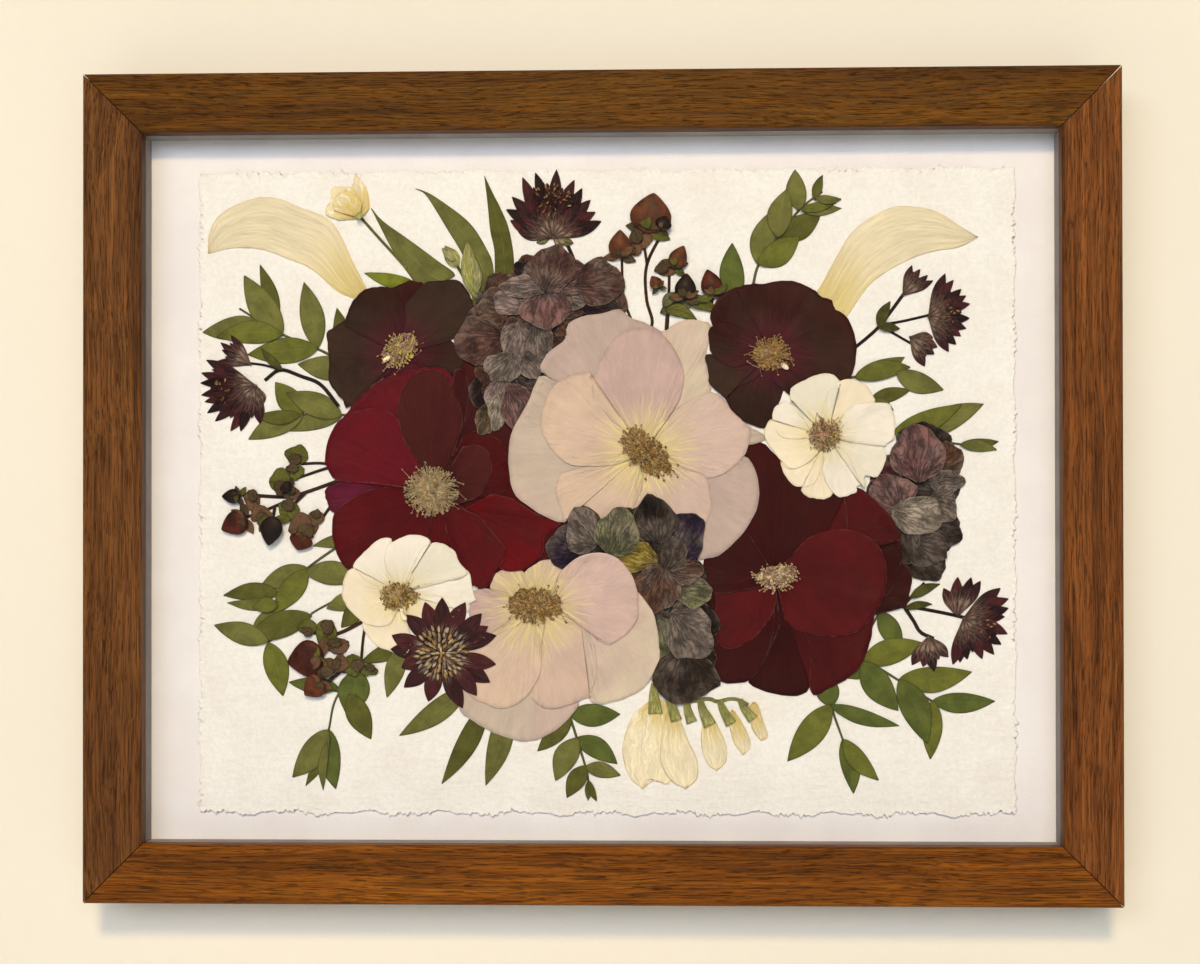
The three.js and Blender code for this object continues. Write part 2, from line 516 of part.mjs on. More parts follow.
const buildPaleFlowers = () => {
  specimen('lily_petal_left', LILY, [shape(0, [
    [-149.6, 90.2], [-140, 92.3], [-130, 91.9], [-120, 88.4], [-110, 84], [-100, 75.3], [-92, 71.4],
    [-88, 74], [-94, 86], [-98.5, 96], [-104, 103.3], [-114, 107.3], [-124, 111.3], [-134, 110.6],
    [-145, 105], [-149.4, 97],
  ])]);
  specimen('lily_petal_right', LILY, [shape(0, [
    [143, 94.6], [136, 99], [127, 104.5], [114, 106.5], [105, 103.5], [95.5, 96.5], [89, 86],
    [84, 77], [80, 70], [91, 62], [98, 71.5], [104, 78.5], [115, 85.3], [124, 88.8], [136, 91],
    [141.4, 92.6],
  ])]);
  specimen('freesia_bud_upper', CREAM, [
    shape(1, [
      [-90.4, 101.3], [-87.8, 107], [-88.4, 113], [-90.4, 117], [-93.2, 119.5], [-94.4, 115.4],
      [-101.6, 115.2], [-102.6, 111], [-104.6, 105], [-99.6, 102.6],
    ]),
    stem(1, 1.1, [[-91, 103.4], [-85, 96.6], [-78.4, 89.4], [-73.4, 83.8]]),
    pod(1, [-91, 103.6, 3, 3]),
  ]);
  specimen('freesia_bud_small', FRESH_LEAF, [
    shape(2, [[-54.2, 84.6], [-53.4, 88], [-56, 92], [-59.4, 91.2], [-58.6, 88.2], [-56.4, 85.6]]),
    stem(2, 1.2, [[-55, 86], [-51.6, 80.4], [-48, 74]]),
    leaf(2, [-47.2, 72.4, -50.2, 94.6, 6]),
    stem(2, 1.6, [[-47.4, 75], [-47.4, 69.4]]),
  ]);
  specimen('freesia_spray', CREAM, [
    shape(0, [
      [17, -80], [12, -87], [8.6, -97], [9, -104], [12, -110.4], [16, -113.7], [21, -110.4],
      [24.4, -112], [27, -110], [30, -96], [25, -84],
    ]),
    shape(0, [
      [26, -84], [23, -97], [23, -104], [27.4, -111], [32.4, -113.8], [36.6, -110], [36.6, -103],
      [33.4, -95.6], [29.6, -86],
    ]),
    shape(0, [[39, -86], [38.2, -97], [40.4, -104], [44, -107], [47.6, -103.6], [47.6, -97], [43, -88]]),
    shape(0, [[48.6, -87], [50.4, -96], [54, -101], [57, -98], [55.4, -92], [52, -87]]),
    shape(0, [[56, -84], [58, -92], [61, -95.7], [63.4, -93.6], [61.6, -88], [59.6, -83]]),
    shape(0, [[17, -70], [15.8, -78], [19.4, -82.6], [22, -79], [27, -86.4], [31, -86], [27, -77], [20, -70]]),
    shape(0, [
      [25, -76], [24, -79.6], [32, -81], [34, -85], [40, -88], [43.6, -89], [42, -81], [46, -82],
      [49, -88], [52, -88], [50, -80.6], [54, -81], [57, -86], [60.4, -86], [56, -78], [46, -78.6], [40, -77.6],
    ]),
  ]);
};

// ---- long leaves --------------------------------------------------------------------------------

const buildLances = () => {
  specimen('lance_top_left', LEAF, [shape(0, [
    [-87.2, 107], [-84, 100.6], [-79, 91], [-73, 82], [-68, 77], [-55, 78], [-55, 81.5], [-62, 87],
    [-70, 93], [-82, 101.6],
  ])]);
  specimen('lance_top_middle', LEAF, [shape(0, [
    [-70.2, 114.3], [-65.8, 111.4], [-57.5, 98], [-53, 90.6], [-48, 80], [-45, 74], [-40, 74],
    [-40.6, 85], [-42.6, 90.4], [-47.4, 98.6], [-52.6, 104], [-62, 110.8], [-66.6, 113.2],
  ])]);
  specimen('lance_top_right', LEAF, [shape(0, [
    [-43.7, 119], [-42, 106], [-41.4, 91], [-39.6, 90], [-39.4, 75], [-32.8, 76], [-32.7, 88],
    [-34.6, 99], [-37.2, 105.6], [-40.6, 112.4],
  ])]);
  specimen('lance_top_small', FRESH_LEAF, [leaf(0, [-69, 77.4, -89.6, 82.3, 5.6])]);
  specimen('lance_bottom_left', LEAF, [leaf(0, [-50, -75, -76.4, -94, 8.6])]);
  specimen('lance_bottom_middle', LEAF, [leaf(0, [-43, -80.6, -60.2, -112.2, 8])]);
  specimen('lance_bottom_right', LEAF, [leaf(0, [-35, -82, -43.5, -112.8, 9])]);
};

// ---- leafy sprigs -------------------------------------------------------------------------------

const sprig = (name, stems, rows) => specimen(
  name, LEAF, [...stems.map((line) => stem(0, 1.1, line)), ...leaves(0, rows)],
);

const buildSprigs = () => {
  sprig('sprig_upper_left', [
    [[-95, 44], [-103.5, 51.4], [-121.7, 59.3], [-137.7, 69]],
    [[-95, 44], [-94.6, 30], [-99, 28.2], [-115, 28.4]],
  ], [
    [-107.6, 53.6, -112.9, 78.9, 9.4], [-107.4, 53.6, -134.6, 51.4, 10], [-121, 59, -135.9, 81.6, 10.6],
    [-124, 61, -129.8, 85.7, 6.4], [-131.6, 64.6, -151.8, 59.9, 8.6], [-121, 59, -146.4, 58.4, 8.8],
    [-94, 46, -115.3, 47.7, 9.4], [-96, 44, -100.3, 69, 8.4], [-98.2, 28, -119.6, 36.6, 9.4],
    [-113.4, 28.4, -123.9, 40.8, 9.2], [-113, 28.2, -134.2, 19, 9], [-114, 28.2, -131.6, 28, 5.6],
    [-98.4, 27.8, -118.6, 22.2, 7],
  ]);
  sprig('sprig_top_right', [
    [[58, 76], [60.4, 84.8], [68, 95.4], [76, 105.6], [84.4, 112.2]],
  ], [
    [60, 84.4, 65.5, 105.2, 9.4], [60, 84.6, 75.8, 95.2, 9.6], [67.4, 94.6, 71.2, 113.2, 9.4],
    [67.6, 95, 83.9, 103.9, 9.4], [75.6, 105, 74.2, 120.6, 7.8], [76, 105, 89.6, 107.9, 3.8],
    [76.4, 105, 91.6, 105.8, 4.6], [81.4, 109, 84.4, 118.4, 3.8], [81.6, 109.4, 91.5, 109.2, 3.6],
  ]);
  sprig('leaf_top', [], [[52, 71, 50.3, 92.9, 9.4]]);
  sprig('sprig_right', [
    [[88, 40], [97, 42], [113.4, 43.4]],
    [[88, 40], [103, 33.4], [111, 20.6], [137, 16.2]],
  ], [
    [96.6, 42, 115.3, 49.3, 7.4], [96.6, 41.6, 117.4, 45.6, 7.6], [112, 43.2, 129.8, 36.9, 8.2],
    [102, 33, 117.5, 36.9, 5.6], [103, 33, 111, 29.2, 4.4], [110.6, 20.4, 136.7, 31.2, 8.4],
    [122, 19.4, 144.9, 31.5, 9], [136, 16.2, 150.4, 17.4, 4.8], [136, 16, 149.7, 14.2, 4.6],
  ]);
  sprig('sprig_lower_left', [
    [[-94, -18], [-111.6, -30.2], [-123, -41.6], [-124, -46.4]],
    [[-94, -18], [-93, -36], [-110.2, -47.6]],
    [[-110, -48], [-127, -58.6]],
    [[-93, -34], [-90.6, -43]],
  ], [
    [-111, -30.2, -130, -37.6, 8.4], [-111.4, -30.6, -124.4, -47.6, 9], [-112, -31.6, -90, -34, 9.4],
    [-122, -39.6, -143.8, -40.6, 7], [-122.8, -43, -142.3, -43.4, 4.6], [-122.6, -44, -132.6, -45.4, 6],
    [-123.4, -45.8, -133.4, -57, 8], [-110, -48, -135.6, -57.4, 10], [-126.4, -58, -147.4, -52, 8.6],
    [-126.6, -58.4, -121, -78.9, 9.4], [-91, -42, -104.2, -45.6, 7], [-91, -42, -98.6, -52.9, 7],
    [-92, -20, -109.4, -21.6, 5],
  ]);
  sprig('sprig_lower_left_twigs', [
    [[-72, -58], [-84, -63.4], [-99.6, -78], [-103.6, -92.2]],
    [[-99.8, -77], [-110, -75.4]],
  ], [
    [-91.6, -69, -96.4, -86.2, 12], [-95.4, -78, -87.3, -95.3, 9.2], [-103.6, -91.6, -117.3, -110, 9.8],
    [-103.4, -91.6, -100.9, -114.3, 8.8], [-104.6, -96, -112.3, -113.1, 4.6], [-104, -96, -105.6, -114.8, 3.6],
    [-99.6, -75.4, -118.6, -73.6, 6.6], [-72, -59, -91.2, -66, 6.6], [-74.6, -59.2, -81.1, -79.4, 7.6],
  ]);
  sprig('sprig_bottom', [
    [[-13, -82], [-9, -94.4], [-5, -108], [-4.4, -114]],
  ], [
    [-11.6, -85.6, 7.6, -85.7, 8.8], [-11, -84.6, -23.8, -99.8, 7.4], [-8.4, -94.6, -16.9, -111, 9],
    [-9, -94.6, 6.5, -104.4, 8], [-5, -105, -12.7, -117.3, 7], [-5.6, -105.4, 7.6, -108.9, 6],
    [-4.4, -111, -4.6, -118.5, 2.8], [-4.6, -110.6, -1.4, -118.7, 2.8],
  ]);
  sprig('sprig_lower_right_a', [
    [[86, -72], [87.4, -82.4], [92, -96]],
  ], [
    [87.4, -82.6, 84.6, -70, 8.8], [87.5, -81.8, 70.9, -103.4, 10.4], [86.8, -82, 112.9, -89.9, 6],
    [91.8, -94.8, 95.8, -115.5, 7.6], [91.8, -95, 105.1, -110.5, 7.2],
  ]);
  sprig('sprig_lower_right_b', [
    [[96, -64], [106, -68.6], [120, -77.4], [131.6, -84.3]],
    [[96, -64], [104, -50], [106, -46.6]],
  ], [
    [105.6, -46.6, 114, -62, 8], [99, -65.4, 122.1, -58.7, 9.8], [99, -65.4, 112.6, -84.2, 10.8],
    [101, -66.4, 93.6, -72, 6], [112.8, -72.4, 140.2, -69.7, 9.8], [113, -72.2, 123.6, -96.6, 11],
    [125.2, -80.6, 148.9, -80.6, 7.8], [125.4, -80.2, 124.6, -102.5, 8],
  ]);
};

// ---- the whole frame ----------------------------------------------------------------------------

buildFrame();
buildSheets();
buildTabs();
buildHanger();
buildRoses();
buildHydrangeas();
buildMasterwort();
buildHypericum();
buildPaleFlowers();
buildLances();
buildSprigs();

const HANG_POINT = HANG_HEIGHT - HANGER.height / 2 + HANGER.tooth;
const HANG_DEPTH = RAIL_DEPTH + GAP + HANGER.thick / 2;
layout.position.set(0, -HANG_DEPTH, -HANG_POINT);

const frame = new THREE.Group();
frame.add(layout);
export default frame;
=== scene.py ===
"""The looks of the pressed flower frame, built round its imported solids.

Places are given in millimetres from the middle of the frame's opening, x to the right and z up, as the
flowers were laid out. Heights are millimetres above the face of the torn-edge sheet, towards the glass.
"""
import functools
import logging
import math
from collections.abc import Sequence
from dataclasses import dataclass, field
from enum import Enum

import bmesh
import bpy
import numpy as np
from mathutils import Matrix, Vector


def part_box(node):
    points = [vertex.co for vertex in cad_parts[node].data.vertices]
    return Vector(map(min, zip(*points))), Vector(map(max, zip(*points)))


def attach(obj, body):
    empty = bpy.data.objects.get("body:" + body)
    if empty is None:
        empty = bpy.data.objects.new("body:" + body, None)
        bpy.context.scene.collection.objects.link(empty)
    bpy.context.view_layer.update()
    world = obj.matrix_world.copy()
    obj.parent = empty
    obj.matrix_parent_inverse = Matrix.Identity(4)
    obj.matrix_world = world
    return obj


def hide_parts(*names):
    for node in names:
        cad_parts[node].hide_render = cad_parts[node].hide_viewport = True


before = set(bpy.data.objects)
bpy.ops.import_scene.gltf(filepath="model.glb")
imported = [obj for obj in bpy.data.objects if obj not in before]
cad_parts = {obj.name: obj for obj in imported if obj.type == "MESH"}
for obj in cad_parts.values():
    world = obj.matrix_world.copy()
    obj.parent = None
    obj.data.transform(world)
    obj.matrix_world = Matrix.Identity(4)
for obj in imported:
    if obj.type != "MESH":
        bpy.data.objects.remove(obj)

log = logging.getLogger("pressed_flowers")

MM = 0.001
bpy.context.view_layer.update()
Point = tuple[float, float]
Points = Sequence[Point]
Color = tuple[float, float, float, float]
GLASS_GAP = 0.4          # air kept below the glass, in millimetres
PLATE_THICK = 0.16       # a dried petal, leaf or stem
THREAD_THICK = 0.1       # a filament
CURL_REACH = 1.6         # how far in from its rim a plate curls up
RIM_POINTS = 260         # points on a plate's rim that distances are measured from
SAG = 0.3                # how far a thread sags between the things it lies on
AWAY = (999, 999)        # a flower's middle so far off that none of its tint is seen
NOISE_LOW, NOISE_HIGH = 0.3, 0.7                 # where most of a noise texture's values lie


Numbers = tuple[float, ...]


def traced(text: str) -> tuple[Numbers, ...]:
    """Rows of numbers from text: a word for each row, with commas between its numbers."""
    return tuple(tuple(map(float, word.split(","))) for word in text.split())


def table(text: str) -> list[tuple[str, list[Numbers]]]:
    """Named rows from text: each starts with a name in capitals, and its rows of numbers follow."""
    rows = []
    for word in text.split():
        if word[0].isupper():
            rows.append((word, []))
        else:
            rows[-1][1].extend(traced(word))
    return rows


def middle_of(node: str) -> Vector:
    """The middle of a node's box."""
    low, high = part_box(node)
    return (low + high) / 2


OPENING = middle_of("glazing")
SHEET_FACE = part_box("deckle_paper")[0].y
GLASS_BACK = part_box("glazing")[1].y
ROOM = (SHEET_FACE - GLASS_BACK) / MM - GLASS_GAP           # height that the specimens may use


# ---- colours and finishes -------------------------------------------------------------------------


def tint_of(code: str) -> Color:
    """A hex colour as scene-linear red, green, blue and alpha."""
    parts = [int(code[i:i + 2], 16) / 255 for i in (1, 3, 5)]
    curve = [c / 12.92 if c <= 0.04045 else ((c + 0.055) / 1.055) ** 2.4 for c in parts]
    return (*curve, 1.0)


class Tone(Enum):
    """Colours of the dried plants and of what holds them, as they look in soft daylight."""

    OLIVE = "#716f37"
    OLIVE_DARK = "#5f5d26"
    OLIVE_PALE = "#6c6d2a"
    SPRING = "#84892b"
    FERN = "#5c632b"
    STALK = "#6b6a44"
    STALK_RED = "#4a2d1c"
    STALK_DARK = "#33271c"
    WINE_BLACK = "#30190e"
    WINE_GREY = "#37251a"
    WINE_BROWN = "#37140c"
    CRIMSON = "#650e1a"
    CRIMSON_DEEP = "#580a0f"
    CRIMSON_PLUM = "#651a31"
    CRIMSON_BROWN = "#4a1915"
    CRIMSON_BLACK = "#3c0a0a"
    SCARLET = "#680109"
    SCARLET_DARK = "#470303"
    MAROON = "#4b0e0d"
    MAROON_BRIGHT = "#551011"
    MAROON_DEEP = "#3a0b07"
    MAROON_BLACK = "#350906"
    MAROON_BROWN = "#38110a"
    BLUSH = "#dec0a5"
    BLUSH_WARM = "#dcc8ac"
    BLUSH_PINK = "#d9bcaa"
    BLUSH_MAUVE = "#ceaea2"
    BLUSH_ROSE = "#dcbbad"
    BLUSH_GREY = "#c4ac9d"
    BLUSH_PALE = "#cdb9a3"
    BUTTER = "#ecd78c"
    IVORY = "#f9eeda"
    IVORY_WARM = "#fae9c9"
    IVORY_GREY = "#f1e7cf"
    PLUM = "#432021"
    PLUM_DARK = "#2e1617"
    PLUM_RED = "#572627"
    BRACT_PALE = "#c9ab90"
    MAUVE = "#5a3d34"
    # deepened to paint the shade between hydrangea petals, as well as some petals' own dark tone
    MAUVE_DARK = "#2b1b19"
    MAUVE_PINK = "#72504b"
    MAUVE_PALE = "#857068"
    TAUPE = "#73655a"
    TAUPE_LIGHT = "#988a78"
    TAUPE_GREEN = "#6f6c4c"
    SLATE = "#372a20"
    SLATE_DARK = "#281e18"
    SLATE_PURPLE = "#2f2230"
    UMBER = "#5a3c2b"
    BRONZE = "#5b4930"
    OCHRE = "#8f7a34"
    POD_RED = "#451709"
    POD_DARK = "#1c0d08"
    POD_BROWN = "#562a12"
    CALYX = "#74543a"
    CALYX_GREEN = "#67652a"
    LILY = "#fbeac2"
    LILY_GOLD = "#e8cc74"
    CREAM = "#fdedc6"
    CREAM_GOLD = "#e3c35a"
    BUD = "#bab568"
    BUD_PALE = "#c6bf82"
    ANTHER_TAN = "#a8834f"
    ANTHER_GOLD = "#a47c38"
    ANTHER_BROWN = "#7a5a30"
    ANTHER_CREAM = "#d9c6a2"
    ANTHER_YELLOW = "#cdb65a"
    ANTHER_STRAW = "#b39f76"
    THREAD_PINK = "#a4666a"
    THREAD_STRAW = "#cdb184"

    @property
    def linear(self) -> Color:
        """The colour as scene-linear red, green, blue and alpha."""
        return tint_of(self.value)


class Graph:
    """A node tree, with short calls that add nodes and join them."""

    def __init__(self, tree: bpy.types.NodeTree) -> None:
        """Takes the tree that the calls add to."""
        self.tree = tree

    def add(self, kind: str, inputs: dict | None = None, **settings: object) -> bpy.types.Node:
        """Adds a node.

        Args:
            kind: The node's type name.
            inputs: Socket name or number to a value, or to an output socket to join.
            settings: The node's own properties.

        Returns:
            The new node.
        """
        node = self.tree.nodes.new(kind)
        for name, value in settings.items():
            setattr(node, name, value)
        for key, value in (inputs or {}).items():
            self.feed(node.inputs[key], value)
        return node

    def feed(self, socket: bpy.types.NodeSocket, value: object) -> None:
        """Joins an output to a socket, or sets the socket's value."""
        if isinstance(value, bpy.types.NodeSocket):
            self.tree.links.new(value, socket)
        else:
            socket.default_value = value

    def math(self, operation: str, a: object, b: object = 0.0, c: object = 0.0) -> bpy.types.NodeSocket:
        """A math node's result."""
        return self.add("ShaderNodeMath", {0: a, 1: b, 2: c}, operation=operation).outputs[0]

    def mix(self, factor: object, a: object, b: object, blend: str = "MIX") -> bpy.types.NodeSocket:
        """Two colours mixed by a factor."""
        node = self.add("ShaderNodeMix", {0: factor, 6: a, 7: b}, data_type="RGBA", blend_type=blend)
        return node.outputs[2]

    def span(self, value: object, low: float, high: float, start: float = 0.0, end: float = 1.0,
             smooth: bool = True) -> bpy.types.NodeSocket:
        """Maps a value from low..high to start..end, held at both ends."""
        node = self.add(
            "ShaderNodeMapRange",
            {"Value": value, "From Min": low, "From Max": high, "To Min": start, "To Max": end},
            interpolation_type="SMOOTHSTEP" if smooth else "LINEAR",
        )
        return node.outputs[0]

    def noise(self, vector: object, scale: float, detail: float = 2.0, roughness: float = 0.5,
              distortion: float = 0.0) -> bpy.types.NodeSocket:
        """A noise texture's factor."""
        node = self.add(
            "ShaderNodeTexNoise",
            {"Vector": vector, "Scale": scale, "Detail": detail, "Roughness": roughness,
             "Distortion": distortion},
        )
        return node.outputs[0]

    def swing(self, noise: object, low: float = 0.0, high: float = 1.0) -> bpy.types.NodeSocket:
        """Spreads a noise over low..high."""
        return self.span(noise, NOISE_LOW, NOISE_HIGH, low, high)

    def stretch(self, vector: object, scale: tuple[float, float, float]) -> bpy.types.NodeSocket:
        """A vector scaled by a Mapping node."""
        return self.add("ShaderNodeMapping", {"Vector": vector, "Scale": scale}).outputs[0]

    def shaded(self, color: object, shade: object) -> bpy.types.NodeSocket:
        """A colour made darker or lighter by a shade that changes over the surface."""
        return self.mix(1.0, color, self.join(shade, shade, shade), "MULTIPLY")

    def marked(self, mask: object, color: object, shade: float) -> bpy.types.NodeSocket:
        """A colour made darker or lighter by one shade where a mask is high."""
        return self.mix(mask, color, self.mix(1.0, color, (shade, shade, shade, 1.0), "MULTIPLY"))

    def skin(self, shader: bpy.types.Node, color: object, normal: object, roughness: object,
             specular: float) -> None:
        """Joins a colour, a normal and a roughness to a shader, and sets how strongly it gleams."""
        self.feed(shader.inputs["Base Color"], color)
        self.feed(shader.inputs["Normal"], normal)
        self.feed(shader.inputs["Roughness"], roughness)
        shader.inputs["Specular IOR Level"].default_value = specular

    def attribute(self, name: str, output: str = "Vector") -> bpy.types.NodeSocket:
        """A mesh attribute."""
        return self.add("ShaderNodeAttribute", attribute_name=name).outputs[output]

    def split(self, vector: object) -> list[bpy.types.NodeSocket]:
        """The three numbers of a vector."""
        return list(self.add("ShaderNodeSeparateXYZ", {0: vector}).outputs)

    def join(self, x: object, y: object, z: object = 0.0) -> bpy.types.NodeSocket:
        """A vector from three numbers."""
        return self.add("ShaderNodeCombineXYZ", {0: x, 1: y, 2: z}).outputs[0]

    def place(self) -> bpy.types.NodeSocket:
        """The Object coordinates, in metres."""
        return self.add("ShaderNodeTexCoord").outputs["Object"]

    def bump(self, height: object, distance: float, strength: float = 1.0) -> bpy.types.NodeSocket:
        """A normal bumped by a height, with the distance in metres."""
        node = self.add("ShaderNodeBump", {"Height": height, "Distance": distance, "Strength": strength})
        return node.outputs[0]

    def group(self, tree: bpy.types.NodeTree, inputs: dict) -> bpy.types.Node:
        """Places a node group and sets its inputs."""
        node = self.add("ShaderNodeGroup", node_tree=tree)
        for key, value in inputs.items():
            self.feed(node.inputs[key], value)
        return node


def new_group(name: str, inputs: dict[str, str], outputs: dict[str, str]) -> tuple[Graph, dict, dict]:
    """Starts a shader node group.

    Args:
        name: The group's name.
        inputs: Input name to the kind of its socket.
        outputs: Output name to the kind of its socket.

    Returns:
        The group's graph, its inputs as sockets to read, and its outputs as sockets to feed.
    """
    tree = bpy.data.node_groups.new(name, "ShaderNodeTree")
    for label, kind in inputs.items():
        tree.interface.new_socket(label, in_out="INPUT", socket_type=kind)
    for label, kind in outputs.items():
        tree.interface.new_socket(label, in_out="OUTPUT", socket_type=kind)
    graph = Graph(tree)
    source = graph.add("NodeGroupInput")
    target = graph.add("NodeGroupOutput")
    return graph, {n: source.outputs[n] for n in inputs}, {n: target.inputs[n] for n in outputs}


FLOAT = "NodeSocketFloat"
VECTOR = "NodeSocketVector"


@functools.cache
def fan_veins() -> bpy.types.NodeTree:
    """Fine veins and broad rays that run out from a petal's base and wander as they go."""
    g, given, out = new_group("fan_veins", {"Petal": VECTOR, "Count": FLOAT, "Wander": FLOAT},
                              {"Vein": FLOAT, "Ray": FLOAT})
    u, v, _ = g.split(given["Petal"])
    place = g.place()
    bend = g.math("SUBTRACT", g.noise(place, 260.0, 3.0), 0.5)
    side = g.math("MULTIPLY_ADD", bend, given["Wander"], u)
    across = g.math("MULTIPLY", side, given["Count"])
    lines = g.noise(g.join(across, g.math("MULTIPLY", v, 1.6)), 1.0, 5.0, 0.62)
    ridge = g.math("ABSOLUTE", g.math("SUBTRACT", lines, 0.5))
    fine = g.span(ridge, 0.0, 0.07, 1.0, 0.0)
    g.feed(out["Vein"], fine)
    g.feed(out["Ray"], g.span(lines, 0.38, 0.64))
    return g.tree


@functools.cache
def net_veins() -> bpy.types.NodeTree:
    """A midrib with side veins and a fine net between them."""
    g, given, out = new_group(
        "net_veins", {"Petal": VECTOR, "Pairs": FLOAT, "Slant": FLOAT, "Net": FLOAT}, {"Vein": FLOAT, "Net": FLOAT},
    )
    u, v, _ = g.split(given["Petal"])
    place = g.place()
    off = g.math("ABSOLUTE", g.math("SUBTRACT", u, 0.5))
    midrib = g.span(off, 0.008, 0.035, 1.0, 0.0)
    wander = g.math("MULTIPLY", g.math("SUBTRACT", g.noise(place, 180.0, 2.0), 0.5), 0.12)
    run = g.math("SUBTRACT", g.math("ADD", v, wander), g.math("MULTIPLY", off, given["Slant"]))
    wave = g.math("SINE", g.math("MULTIPLY", g.math("MULTIPLY", run, given["Pairs"]), 2 * math.pi))
    side = g.math("MULTIPLY", g.span(wave, 0.86, 1.0), 0.6)
    g.feed(out["Vein"], g.math("MAXIMUM", midrib, side))
    cells = g.add("ShaderNodeTexVoronoi", {"Vector": place, "Scale": given["Net"]}, feature="DISTANCE_TO_EDGE")
    g.feed(out["Net"], g.span(cells.outputs[0], 0.0, 0.12, 1.0, 0.0))
    return g.tree


@functools.cache
def mottle() -> bpy.types.NodeTree:
    """Soft uneven patches and fine specks, both about a half."""
    g, given, out = new_group("mottle", {"Scale": FLOAT}, {"Patch": FLOAT, "Speck": FLOAT})
    place = g.place()
    g.feed(out["Patch"], g.noise(place, given["Scale"], 4.0, 0.6, 0.4))
    g.feed(out["Speck"], g.noise(place, 2400.0, 3.0, 0.7))
    return g.tree


def new_material(name: str) -> tuple[bpy.types.Material, Graph, bpy.types.Node]:
    """Starts a material.

    Args:
        name: The material's name.

    Returns:
        The material, its graph and its Principled shader.
    """
    material = bpy.data.materials.new(name)
    material.use_nodes = True
    material.node_tree.nodes.clear()
    graph = Graph(material.node_tree)
    shader = graph.add("ShaderNodeBsdfPrincipled")
    graph.add("ShaderNodeOutputMaterial", {"Surface": shader.outputs[0]})
    return material, graph, shader


@dataclass(frozen=True)
class PetalFinish:
    """A dried petal: veins that fan out, patches, stains, a tinted heart and a thin tinted rim, which on the red roses
    is partly painted highlight.
    """

    name: str
    vein_count: float = 34.0
    vein_wander: float = 0.05
    vein_shade: float = 0.8         # how bright a vein is beside the petal
    vein_amount: float = 0.6
    patch_scale: float = 110.0
    patch_dark: float = 0.72
    patch_light: float = 1.12
    heart: Tone = Tone.BUTTER
    heart_reach: float = 0.0        # millimetres from the flower's middle
    heart_amount: float = 0.0
    heart_rays: float = 0.0         # how far the heart's tint keeps to the rays
    rim: Tone = Tone.BLUSH_MAUVE
    rim_amount: float = 0.0
    stain: Tone = Tone.UMBER
    stain_scale: float = 34.0
    stain_amount: float = 0.0
    roughness: float = 0.6
    relief: float = 0.00005
    crease: float = 0.0             # radial creases along the rim
    specular: float = 0.12

    def material(self) -> bpy.types.Material:
        """Builds the finish's material."""
        material, g, shader = new_material(self.name)
        petal = g.attribute("petal")
        spots = g.group(mottle(), {"Scale": self.patch_scale})
        vein = g.group(fan_veins(), {"Petal": petal, "Count": self.vein_count, "Wander": self.vein_wander})
        tint = g.attribute("tint", "Color")
        if self.stain_amount:
            stain = g.span(g.noise(g.place(), self.stain_scale, 3.0, 0.55), 0.42, 0.66, 0.0, self.stain_amount)
            tint = g.mix(stain, tint, self.stain.linear)
        shade = g.swing(spots.outputs["Patch"], self.patch_dark, self.patch_light)
        tint = g.shaded(tint, shade)
        line = g.math("MULTIPLY", vein.outputs["Vein"], self.vein_amount)
        color = g.marked(line, tint, self.vein_shade)
        if self.heart_amount:
            ray = vein.outputs["Ray"]
            away = g.math("MULTIPLY_ADD", ray, -0.4 * self.heart_reach, g.attribute("heart", "Fac"))
            glow = g.span(away, self.heart_reach * 0.02, self.heart_reach * 0.75, self.heart_amount, 0.0)
            glow = g.math("MULTIPLY", glow, g.span(ray, 0.1, 0.9, 1.0 - self.heart_rays, 1.0))
            color = g.mix(glow, color, self.heart.linear)
        _, _, edge = g.split(petal)
        # the rim line is the petal's own paler edge, and on the red roses partly a painted highlight where the thin
        # edge catches light
        if self.rim_amount:
            broken = g.span(g.noise(g.place(), 420.0, 2.0), 0.35, 0.6)
            rim = g.math("MULTIPLY", g.span(edge, 0.12, 0.42, self.rim_amount, 0.0), broken)
            color = g.mix(rim, color, self.rim.linear)
        height = g.math("MULTIPLY_ADD", spots.outputs["Speck"], 0.15, vein.outputs["Vein"])
        ray = g.math("MULTIPLY", vein.outputs["Ray"], g.span(edge, 0.5, 6.0, 0.6 + self.crease, 0.6))
        height = g.math("ADD", ray, height)
        rough = g.swing(spots.outputs["Patch"], self.roughness - 0.08, self.roughness + 0.1)
        g.skin(shader, color, g.bump(height, self.relief), rough, self.specular)
        return material


